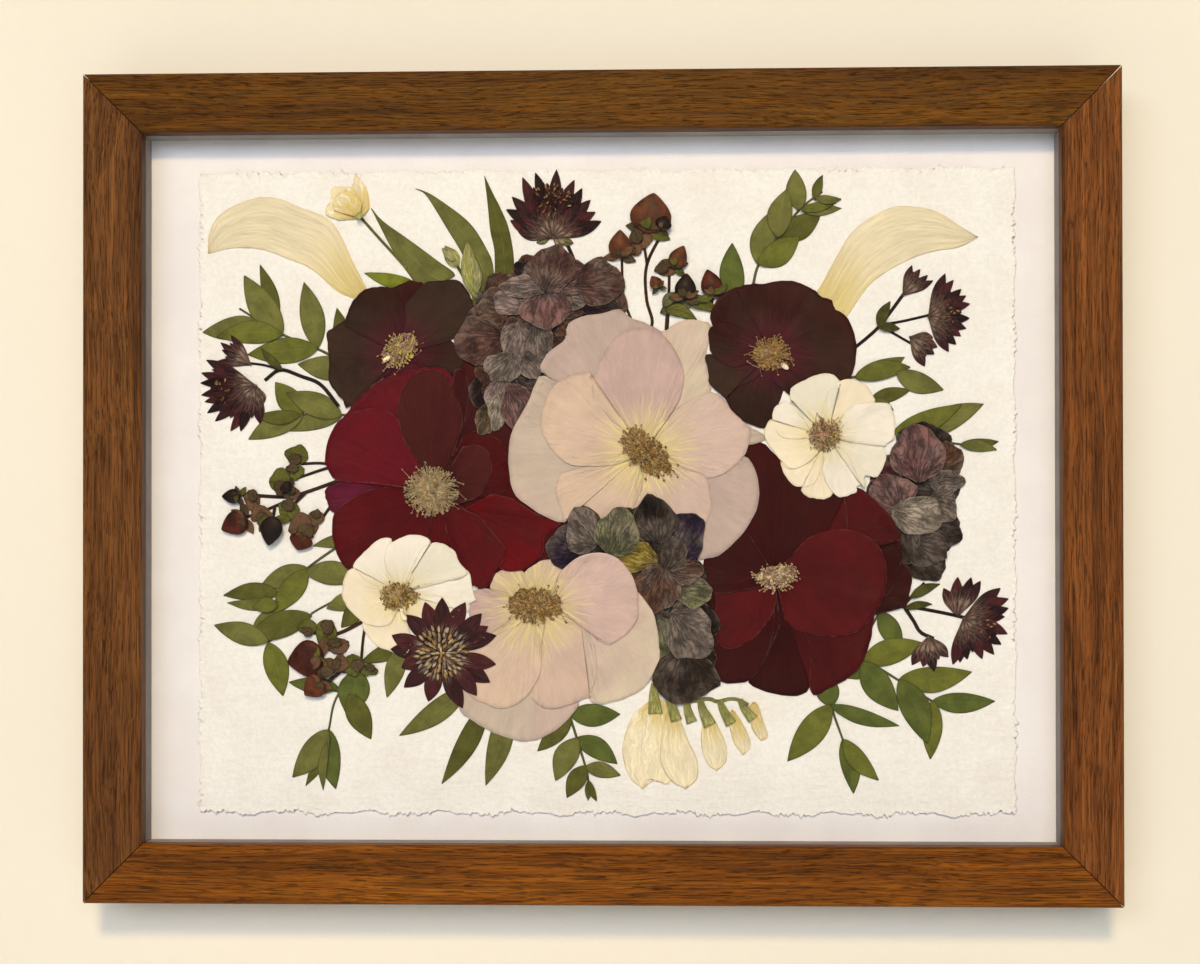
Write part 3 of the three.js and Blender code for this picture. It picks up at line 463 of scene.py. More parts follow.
@dataclass(frozen=True)
class LeafFinish:
    """A dried leaf or veined petal: midrib, side veins, net and a darker or lighter rim."""

    name: str
    pairs: float = 9.0
    slant: float = 1.1
    net: float = 900.0
    vein_shade: float = 1.35
    vein_amount: float = 0.55
    net_amount: float = 0.4
    patch_scale: float = 140.0
    patch_dark: float = 0.74
    patch_light: float = 1.2
    rim_shade: float = 0.62
    roughness: float = 0.55
    relief: float = 0.00014
    specular: float = 0.15

    def material(self) -> bpy.types.Material:
        """Builds the finish's material."""
        material, g, shader = new_material(self.name)
        petal = g.attribute("petal")
        spots = g.group(mottle(), {"Scale": self.patch_scale})
        vein = g.group(net_veins(), {"Petal": petal, "Pairs": self.pairs, "Slant": self.slant, "Net": self.net})
        shade = g.swing(spots.outputs["Patch"], self.patch_dark, self.patch_light)
        tint = g.shaded(g.attribute("tint", "Color"), shade)
        line = g.math("MULTIPLY", vein.outputs["Vein"], self.vein_amount)
        color = g.marked(line, tint, self.vein_shade)
        mesh = g.math("MULTIPLY", vein.outputs["Net"], self.net_amount)
        color = g.marked(mesh, color, self.vein_shade)
        _, _, edge = g.split(petal)
        rim = g.span(edge, 0.08, 0.4, 0.8, 0.0)
        color = g.marked(rim, color, self.rim_shade)
        height = g.math("ADD", g.math("MULTIPLY_ADD", spots.outputs["Speck"], 0.4, vein.outputs["Vein"]),
                        g.math("MULTIPLY", vein.outputs["Net"], 0.35))
        rough = g.swing(spots.outputs["Patch"], self.roughness - 0.08, self.roughness + 0.12)
        g.skin(shader, color, g.bump(height, self.relief), rough, self.specular)
        return material


@dataclass(frozen=True)
class SpeckFinish:
    """Stamens, anthers and pods: each small form's own tint, with patches and a fine grain."""

    name: str
    patch_scale: float = 500.0
    patch_dark: float = 0.6
    patch_light: float = 1.25
    roughness: float = 0.7
    relief: float = 0.00008
    coat: float = 0.0
    specular: float = 0.25

    def material(self) -> bpy.types.Material:
        """Builds the finish's material."""
        material, g, shader = new_material(self.name)
        spots = g.group(mottle(), {"Scale": self.patch_scale})
        shade = g.swing(spots.outputs["Patch"], self.patch_dark, self.patch_light)
        color = g.shaded(g.attribute("tint", "Color"), shade)
        rough = g.swing(spots.outputs["Patch"], self.roughness - 0.1, self.roughness + 0.1)
        g.skin(shader, color, g.bump(spots.outputs["Speck"], self.relief), rough, self.specular)
        shader.inputs["Coat Weight"].default_value = self.coat
        shader.inputs["Coat Roughness"].default_value = 0.3
        return material


# ---- plates, and the bed they are pressed on ----------------------------------------------------------


def wave(at: np.ndarray, seed: float, scale: float = 1.0) -> np.ndarray:
    """A smooth uneven wave from -1 to 1, the same each time for the same seed."""
    t = at * scale
    parts = (np.sin(t * 1.7 + seed * 3.1) + 0.7 * np.sin(t * 3.9 + seed * 5.3 + 1.0)
             + 0.45 * np.sin(t * 8.3 + seed * 7.7 + 2.0) + 0.3 * np.sin(t * 15.1 + seed * 11.9))
    return parts / 2.45


def smooth_line(points: Points, count: int) -> np.ndarray:
    """A rounded line through points.

    Args:
        points: The points, in millimetres.
        count: How many evenly spaced points to return.

    Returns:
        The points of a Catmull-Rom curve, spaced evenly along it.
    """
    p = np.array(points, float)
    ends = np.vstack([2 * p[0] - p[1], p, 2 * p[-1] - p[-2]])
    t = np.linspace(0, 1, 9)[:-1, None]
    runs = []
    for a, b, c, d in zip(ends[:-3], ends[1:-2], ends[2:-1], ends[3:]):
        runs.append(0.5 * (2 * b + (c - a) * t + (2 * a - 5 * b + 4 * c - d) * t ** 2
                           + (3 * b - a - 3 * c + d) * t ** 3))
    line = np.vstack([*runs, p[-1:]])
    return even(line, count)


def even(line: np.ndarray, count: int) -> np.ndarray:
    """Points spaced evenly along a line of many points."""
    steps = np.r_[0, np.cumsum(np.hypot(*np.diff(line, axis=0).T))]
    at = np.linspace(0, steps[-1], count)
    return np.column_stack([np.interp(at, steps, line[:, k]) for k in (0, 1)])


@dataclass
class Plate:
    """One pressed petal, leaf or stem: a grid of points with its place, finish values and layer."""

    place: np.ndarray                 # rows by columns by (x, z)
    tone: Tone
    level: float
    thick: float = PLATE_THICK
    lift: float = 0.06                # air between it and what it lies on
    curl: float = 0.45                # how far its rim stands up
    ripple: float = 0.08
    bulge: float = 0.0                # how far its middle stands up, for a stem
    seed: float = 0.0
    loose: bool = False               # a thread, which nothing else is laid over
    middle: Point = (0.0, 0.0)
    height: np.ndarray = field(default_factory=lambda: np.zeros(0))

    def __post_init__(self) -> None:
        """Works out the values that its finish reads."""
        rows, columns = self.place.shape[:2]
        self.v, self.u = np.meshgrid(np.linspace(0, 1, rows), np.linspace(0, 1, columns), indexing="ij")
        rim = np.vstack([self.place[:, 0], self.place[-1], self.place[::-1, -1]])
        rim = even(rim, RIM_POINTS)
        flat = self.place.reshape(-1, 1, 2)
        self.edge = np.sqrt(((flat - rim[None]) ** 2).sum(-1)).min(1).reshape(rows, columns)
        self.heart = np.hypot(self.place[..., 0] - self.middle[0], self.place[..., 1] - self.middle[1])

    def relief(self) -> np.ndarray:
        """How far each point stands above what the plate lies on."""
        rim = np.exp(-self.edge / CURL_REACH) * self.curl * (0.5 + 0.5 * wave(self.u * 9 + self.v * 5, self.seed))
        folds = self.ripple * wave(self.u * 16, self.seed + 4) * np.sqrt(self.v)
        swell = self.ripple * wave(self.place[..., 0] * 0.16 + self.place[..., 1] * 0.21, self.seed + 9)
        across = self.bulge * np.sqrt(np.clip(1 - (2 * self.u - 1) ** 2, 0, 1))
        return self.thick + self.lift + np.maximum(rim + folds + swell, 0) + across


class PressBed:
    """The height of everything laid so far, on a fine net of cells over the sheet."""

    CELL = 0.5
    LOW = (-172.0, -135.0)
    SIZE = (540, 688)

    def __init__(self) -> None:
        """Starts with the bare sheet."""
        self.height = np.zeros(self.SIZE)

    def index(self, place: np.ndarray) -> tuple[np.ndarray, np.ndarray]:
        """Rows and columns, with fractions, of places on the sheet."""
        return (place[..., 1] - self.LOW[1]) / self.CELL, (place[..., 0] - self.LOW[0]) / self.CELL

    @staticmethod
    def shifted(field_: np.ndarray, reach: int, pick: object) -> np.ndarray:
        """Combines each cell with its neighbours, first along and then across."""
        for axis in (0, 1):
            field_ = pick([np.roll(field_, k, axis) for k in range(-reach, reach + 1)])
        return field_

    @staticmethod
    def sample(field_: np.ndarray, rows: np.ndarray, columns: np.ndarray) -> np.ndarray:
        """Heights between cells."""
        r = np.clip(rows, 0, field_.shape[0] - 1.001)
        c = np.clip(columns, 0, field_.shape[1] - 1.001)
        r0, c0 = r.astype(int), c.astype(int)
        fr, fc = r - r0, c - c0
        low = field_[r0, c0] * (1 - fc) + field_[r0, c0 + 1] * fc
        high = field_[r0 + 1, c0] * (1 - fc) + field_[r0 + 1, c0 + 1] * fc
        return low * (1 - fr) + high * fr

    def lay(self, plate: Plate, reach: int = 3) -> None:
        """Lets a plate down on what is below it, and adds it to the bed."""
        rows, columns = self.index(plate.place)
        pad = 2 * reach + 2
        r0, c0 = max(int(rows.min()) - pad, 0), max(int(columns.min()) - pad, 0)
        r1, c1 = int(rows.max()) + pad, int(columns.max()) + pad
        window = self.height[r0:r1, c0:c1]
        draped = self.shifted(window, reach, lambda f: np.max(f, axis=0))
        draped = self.shifted(draped, reach, lambda f: np.mean(f, axis=0))
        plate.height = self.sample(draped, rows - r0, columns - c0) + plate.relief()
        plate.height = np.minimum(plate.height, ROOM)
        self.stamp(plate)

    def rest(self, thread: Plate) -> None:
        """Lets a thread down on what is below it, without raising the bed."""
        rows, columns = self.index(thread.place)
        lifts = self.sample(self.height, rows, columns) + thread.relief()
        thread.height = np.minimum(np.maximum(lifts, np.median(lifts) - SAG), ROOM)

    def stamp(self, plate: Plate) -> None:
        """Raises the bed to a plate's face."""
        n, m = plate.height.shape
        span = np.abs(np.diff(plate.place, axis=1)).max(), np.abs(np.diff(plate.place, axis=0)).max()
        fine = [np.linspace(0, k - 1, int((k - 1) * max(1, math.ceil(s / 0.33))) + 1)
                for k, s in ((n, span[1]), (m, span[0]))]
        r, c = np.meshgrid(*fine, indexing="ij")
        x, z, h = (self.sample(f, r, c) for f in (plate.place[..., 0], plate.place[..., 1], plate.height))
        rows, columns = self.index(np.stack([x, z], -1))
        at = (np.clip(rows.round().astype(int), 0, self.SIZE[0] - 1),
              np.clip(columns.round().astype(int), 0, self.SIZE[1] - 1))
        np.maximum.at(self.height, at, h)

    def at(self, x: float, z: float, reach: int = 1) -> float:
        """The height of what lies at a place."""
        r, c = (int(round(float(k))) for k in self.index(np.array([x, z])))
        return float(self.height[r - reach:r + reach + 1, c - reach:c + reach + 1].max())


def right_way(place: np.ndarray) -> np.ndarray:
    """Turns a grid's columns round where needed, so that its face looks at the glass."""
    across = place[:, 1:] - place[:, :-1]
    out = place[1:] - place[:-1]
    turn = across[:-1, :, 0] * out[:, :-1, 1] - across[:-1, :, 1] * out[:, :-1, 0]
    return place if turn.sum() > 0 else place[:, ::-1]


def fan(base: Point, edge: Points, across: int = 36, out: int = 20, wander: float = 0.25,
        seed: float = 0.0) -> np.ndarray:
    """A petal's grid: from its base out to a traced edge.

    Args:
        base: Where the petal starts.
        edge: Its visible edge, from one side round the tip to the other.
        across: Columns of faces.
        out: Rows of faces.
        wander: How far the edge strays from the traced line.
        seed: Picks the way it strays.

    Returns:
        The grid's places.
    """
    line = smooth_line(edge, across + 1)
    b = np.array(base, float)
    ray = line - b
    length = np.hypot(*ray.T)[:, None]
    line = line + ray / np.maximum(length, 1e-6) * (wander * wave(np.arange(across + 1) * 0.55, seed))[:, None]
    v = np.linspace(0.03, 1, out + 1)[:, None, None]
    return right_way(b + v * (line - b)[None])


def strip(left: Points, right: Points, across: int = 10, out: int = 28) -> np.ndarray:
    """A grid between two edges that both run from base to tip."""
    a, b = smooth_line(left, out + 1), smooth_line(right, out + 1)
    u = np.linspace(0, 1, across + 1)[None, :, None]
    return right_way(a[:, None] * (1 - u) + b[:, None] * u)


def blade(outline: Points, tip: int, across: int = 10, out: int = 28) -> np.ndarray:
    """A grid inside a closed outline whose first point is the base and whose point `tip` is the tip."""
    return strip(outline[:tip + 1], [outline[0], *reversed(outline[tip:])], across, out)


def leaf(base: Point, tip: Point, width: float, bend: float = 0.0, full: float = 0.85, across: int = 8,
         out: int = 22) -> np.ndarray:
    """A pointed leaf's grid.

    Args:
        base: Where it joins its stem.
        tip: Its point.
        width: Its greatest width.
        bend: How far its midrib bows to one side, as a share of its length.
        full: How near the base it is widest; smaller is nearer.
        across: Columns of faces.
        out: Rows of faces.

    Returns:
        The grid's places.
    """
    a, b = np.array(base, float), np.array(tip, float)
    ray = b - a
    side = np.array([-ray[1], ray[0]]) / np.hypot(*ray)
    v = np.linspace(0, 1, out + 1)
    rib = a + v[:, None] * ray + (bend * np.hypot(*ray) * np.sin(math.pi * v))[:, None] * side
    half = width / 2 * np.sin(math.pi * v ** full) ** 0.85
    half = np.maximum(half, 0.12)
    u = np.linspace(1, -1, across + 1)[None, :, None]
    return right_way(rib[:, None] + u * half[:, None, None] * side)


def ribbon(points: Points, width: float, end: float | None = None, out: int = 0) -> np.ndarray:
    """A stem's grid, from one width to another along a rounded line."""
    length = sum(math.dist(a, b) for a, b in zip(points, points[1:]))
    rows = out or max(6, int(length / 1.6))
    line = smooth_line(points, rows + 1)
    along = np.gradient(line, axis=0)
    side = np.column_stack([-along[:, 1], along[:, 0]]) / np.hypot(*along.T)[:, None]
    half = np.linspace(width, width if end is None else end, rows + 1) / 2
    u = np.linspace(1, -1, 6)[None, :, None]
    return right_way(line[:, None] + u * half[:, None, None] * side[:, None])


@dataclass
class Bead:
    """An anther, berry or grain: a small rounded body that lies on the bed."""

    x: float
    z: float
    length: float
    width: float
    turn: float                       # degrees from the x axis
    tone: Tone
    level: float
    depth: float = 0.8                # thickness, as a share of the width
    detail: int = 1
    lift: float = 0.0
    taper: float = 0.0                # how much thinner its far end is
    height: float = 0.0


@dataclass
class Thread:
    """A thin filament from one point to another, with a bow."""

    start: Point
    end: Point
    bow: float
    width: float
    tone: Tone
    level: float
    lift: float = 0.15

    def plate(self, seed: float) -> Plate:
        """The thread as a narrow plate."""
        a, b = np.array(self.start, float), np.array(self.end, float)
        side = np.array([a[1] - b[1], b[0] - a[0]])
        mid = (a + b) / 2 + side * self.bow
        place = ribbon([tuple(a), tuple(mid), tuple(b)], self.width, self.width * 0.7, out=4)[:, ::2]
        return Plate(place, self.tone, self.level, thick=THREAD_THICK, lift=self.lift, curl=0.0, ripple=0.0,
                     bulge=0.08, seed=seed, loose=True)


class Specimen:
    """A dried flower, pod stem or sprig: its plates and beads, and the finishes they take."""

    def __init__(self, name: str, slot: str, finish: object, beads: object | None = None, tag: str = "") -> None:
        """Takes the CAD node's name, the record's slot, the finishes and a tag for the pieces' names."""
        self.name, self.slot, self.finish, self.bead_finish, self.tag = name, slot, finish, beads, tag
        self.plates: list[Plate] = []
        self.threads: list[Plate] = []
        self.beads: list[Bead] = []

    def add(self, place: np.ndarray, tone: Tone, level: float, **values: object) -> Plate:
        """Adds a plate and gives it its own seed."""
        seed = len(self.plates) * 1.37 + sum(map(ord, self.name)) * 0.11
        plate = Plate(place, tone, level, **{"seed": seed, **values})
        self.plates.append(plate)
        return plate

    def build(self) -> None:
        """Makes the specimen's meshes once everything has been laid."""
        for part, plates, beads, finish, thick in (
                ("plates", self.plates, [], self.finish, PLATE_THICK),
                ("threads", self.threads, [], self.bead_finish, THREAD_THICK),
                ("beads", [], self.beads, self.bead_finish, 0.0)):
            if not plates and not beads:
                continue
            mesh = PlateMesh(f"{self.name}_{self.tag}{part}")
            for plate in plates:
                mesh.add_plate(plate)
            for bead in beads:
                mesh.add_bead(bead)
            piece = mesh.finish(finish, thick)
            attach(piece, "root")
            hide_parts(self.name)
        log.info("%s: %d plates, %d threads, %d beads", self.name, len(self.plates), len(self.threads),
                 len(self.beads))


def spot(x: float, height: float, z: float) -> Vector:
    """A layout place and a height above the sheet as a point in the row frame, in metres."""
    return Vector((OPENING.x + x * MM, SHEET_FACE - height * MM, OPENING.z + z * MM))


def make_object(name: str, bm: bmesh.types.BMesh, material: bpy.types.Material,
                thick: float = 0.0) -> bpy.types.Object:
    """Turns a bmesh into an object in the scene.

    Args:
        name: The object's name.
        bm: The bmesh, which is freed.
        material: The object's material.
        thick: The thickness that its sheets get, in millimetres.

    Returns:
        The object.
    """
    mesh = bpy.data.meshes.new(name)
    bm.to_mesh(mesh)
    bm.free()
    mesh.materials.append(material)
    made = bpy.data.objects.new(name, mesh)
    bpy.context.scene.collection.objects.link(made)
    if thick:
        solid = made.modifiers.new("thickness", "SOLIDIFY")
        solid.thickness, solid.offset = thick * MM, -1
    return made


class PlateMesh:
    """A mesh of laid plates and beads, with the layers that the finishes read."""

    def __init__(self, name: str) -> None:
        """Starts an empty mesh."""
        self.name = name
        self.bm = bmesh.new()
        self.petal = self.bm.verts.layers.float_vector.new("petal")
        self.tint = self.bm.verts.layers.float_color.new("tint")
        self.heart = self.bm.verts.layers.float.new("heart")

    def add_plate(self, plate: Plate) -> None:
        """Adds a plate as a grid moved onto its places."""
        rows, columns = plate.height.shape
        made = bmesh.ops.create_grid(self.bm, x_segments=columns - 1, y_segments=rows - 1, size=0.5)
        values = zip(made["verts"], plate.place.reshape(-1, 2).tolist(), plate.height.ravel().tolist(),
                     plate.u.ravel().tolist(), plate.v.ravel().tolist(), plate.edge.ravel().tolist(),
                     plate.heart.ravel().tolist())
        tint = plate.tone.linear
        for vert, (x, z), height, u, v, edge, heart in values:
            vert.co = spot(x, height, z)
            vert[self.petal] = Vector((u, v, edge))
            vert[self.tint] = tint
            vert[self.heart] = heart

    def add_bead(self, bead: Bead) -> None:
        """Adds a bead as a small rounded form."""
        thick = bead.width * bead.depth
        turn = Matrix.Rotation(math.radians(-bead.turn), 4, "Y")
        size = Matrix.Diagonal((bead.length / 2 * MM, thick / 2 * MM, bead.width / 2 * MM, 1))
        place = Matrix.Translation(spot(bead.x, min(bead.height + bead.lift + thick / 2, ROOM - thick / 2), bead.z))
        made = bmesh.ops.create_icosphere(self.bm, subdivisions=bead.detail, radius=1)
        for vert in made["verts"]:
            waist = 1 - bead.taper * vert.co.x * (0.5 + 0.5 * vert.co.x)
            vert.co = place @ turn @ size @ Vector((vert.co.x, vert.co.y * waist, vert.co.z * waist))
            vert[self.tint] = bead.tone.linear

    def finish(self, finish: object, thick: float) -> bpy.types.Object:
        """Makes the object, gives the plates their thickness and sets the material.

        Args:
            finish: The finish whose material it takes.
            thick: The plates' thickness in millimetres.

        Returns:
            The object.
        """
        for face in self.bm.faces:
            face.smooth = True
        return make_object(self.name, self.bm, material_of(finish), thick)


@functools.cache
def material_of(finish: object) -> bpy.types.Material:
    """The material of a finish, made once."""
    return finish.material()


class Arrangement:
    """Everything on the sheet, laid layer by layer."""

    def __init__(self) -> None:
        """Starts with the bare sheet."""
        self.bed = PressBed()
        self.specimens: list[Specimen] = []

    def add(self, specimen: Specimen) -> None:
        """Adds a specimen."""
        self.specimens.append(specimen)

    def lay(self) -> None:
        """Lays every plate, thread and bead, lowest layer first."""
        items = []
        for specimen in self.specimens:
            items += [(item.level, item) for item in (*specimen.plates, *specimen.threads, *specimen.beads)]
        for _, item in sorted(items, key=lambda row: row[0]):
            if isinstance(item, Bead):
                item.height = self.bed.at(item.x, item.z)
            elif item.loose:
                self.bed.rest(item)
            else:
                self.bed.lay(item)
        log.info("the stack is %.2f mm high of %.2f mm", self.bed.height.max(), ROOM)

    def build(self) -> None:
        """Builds every specimen's meshes."""
        for specimen in self.specimens:
            specimen.build()


# ---- roses ------------------------------------------------------------------------------------------


@dataclass(frozen=True)
class Petal:
    """One rose petal: its colour, layer and traced edge, and its base if that isn't the middle."""

    tone: Tone
    level: float
    edge: tuple[Point, ...]
    base: Point | None = None
    curl: float = 0.45


def petals(text: str) -> tuple[Petal, ...]:
    """Reads rose petals from text.

    Args:
        text: For each petal its colour, its layer, joined to its curl and its base where it has its own, and
            the points of its edge.

    Returns:
        The petals.
    """
    return tuple(Petal(Tone[tone], layer, tuple(edge), tuple(own[1:]) or None, *own[:1])
                 for tone, ((layer, *own), *edge) in table(text))


@dataclass(frozen=True)
class Stamens:
    """The mass of threads and anthers in a flower's middle."""

    middle: Point
    reach: Point                      # half its width and half its height
    turn: float = 0.0                 # degrees
    count: int = 260
    anthers: tuple[Tone, ...] = (Tone.ANTHER_TAN, Tone.ANTHER_BROWN, Tone.ANTHER_GOLD)
    threads: tuple[Tone, ...] = (Tone.THREAD_STRAW, Tone.ANTHER_TAN)
    hollow: float = 0.0               # share of the reach with few anthers
    loose: float = 0.12               # share of anthers that stray past the reach
    size: float = 1.15
    pistil: tuple[Point, ...] = ()


@dataclass(frozen=True)
class Rose:
    """A pressed rose."""

    name: str
    slot: str
    middle: Point
    petals: tuple[Petal, ...]
    stamens: Stamens
    stamen_level: float

    def grow(self, finish: PetalFinish, small: SpeckFinish) -> Specimen:
        """Makes the rose's plates, threads and beads.

        Args:
            finish: The petals' finish.
            small: The stamens' finish.

        Returns:
            The specimen, not yet laid.
        """
        rose = Specimen(self.name, self.slot, finish, small)
        for k, petal in enumerate(self.petals):
            seed = k * 1.7 + len(self.name)
            place = fan(petal.base or self.middle, petal.edge, seed=seed)
            rose.add(place, petal.tone, petal.level + k * 0.01, middle=self.stamens.middle, curl=petal.curl)
        self.fill_middle(rose)
        return rose

    def fill_middle(self, rose: Specimen) -> None:
        """Adds the threads and anthers, in a spread that is denser towards the rim of the mass."""
        s = self.stamens
        rng = np.random.default_rng(sum(map(ord, self.name)))
        cos, sin = math.cos(math.radians(s.turn)), math.sin(math.radians(s.turn))
        for k in range(int(s.count * 1.35)):
            angle = rng.uniform(0, 2 * math.pi)
            far = math.sqrt(rng.uniform(s.hollow ** 2, 1))
            if rng.random() < s.loose:
                far *= rng.uniform(1.05, 1.45)
            a, b = s.reach[0] * far * math.cos(angle), s.reach[1] * far * math.sin(angle)
            x, z = s.middle[0] + a * cos - b * sin, s.middle[1] + a * sin + b * cos
            level = self.stamen_level + 0.0005 * k
            root = (s.middle[0] + (x - s.middle[0]) * rng.uniform(0.05, 0.35) + rng.normal(0, 0.6),
                    s.middle[1] + (z - s.middle[1]) * rng.uniform(0.05, 0.35) + rng.normal(0, 0.6))
            if math.dist(root, (x, z)) > 1.5:
                thread = Thread(root, (x, z), rng.normal(0, 0.14), rng.uniform(0.22, 0.34),
                                s.threads[k % len(s.threads)], level, rng.uniform(0.1, 0.7))
                rose.threads.append(thread.plate(k * 0.7))
            length = s.size * rng.uniform(0.6, 1.15)
            tone = s.anthers[int(rng.integers(len(s.anthers)))]
            rose.beads.append(Bead(x, z, length, length * rng.uniform(0.5, 0.75), rng.uniform(0, 180), tone,
                                   level + 0.0003, lift=rng.uniform(0.1, 0.9)))
        for k in range(len(s.pistil) - 1):
            (x0, z0), (x1, z1) = s.pistil[k], s.pistil[k + 1]
            turn = math.degrees(math.atan2(z1 - z0, x1 - x0))
            rose.beads.append(Bead((x0 + x1) / 2, (z0 + z1) / 2, math.dist((x0, z0), (x1, z1)) + 1.2, 2.0, turn,
                                   Tone.CREAM, self.stamen_level + 0.3, depth=0.5, detail=2))


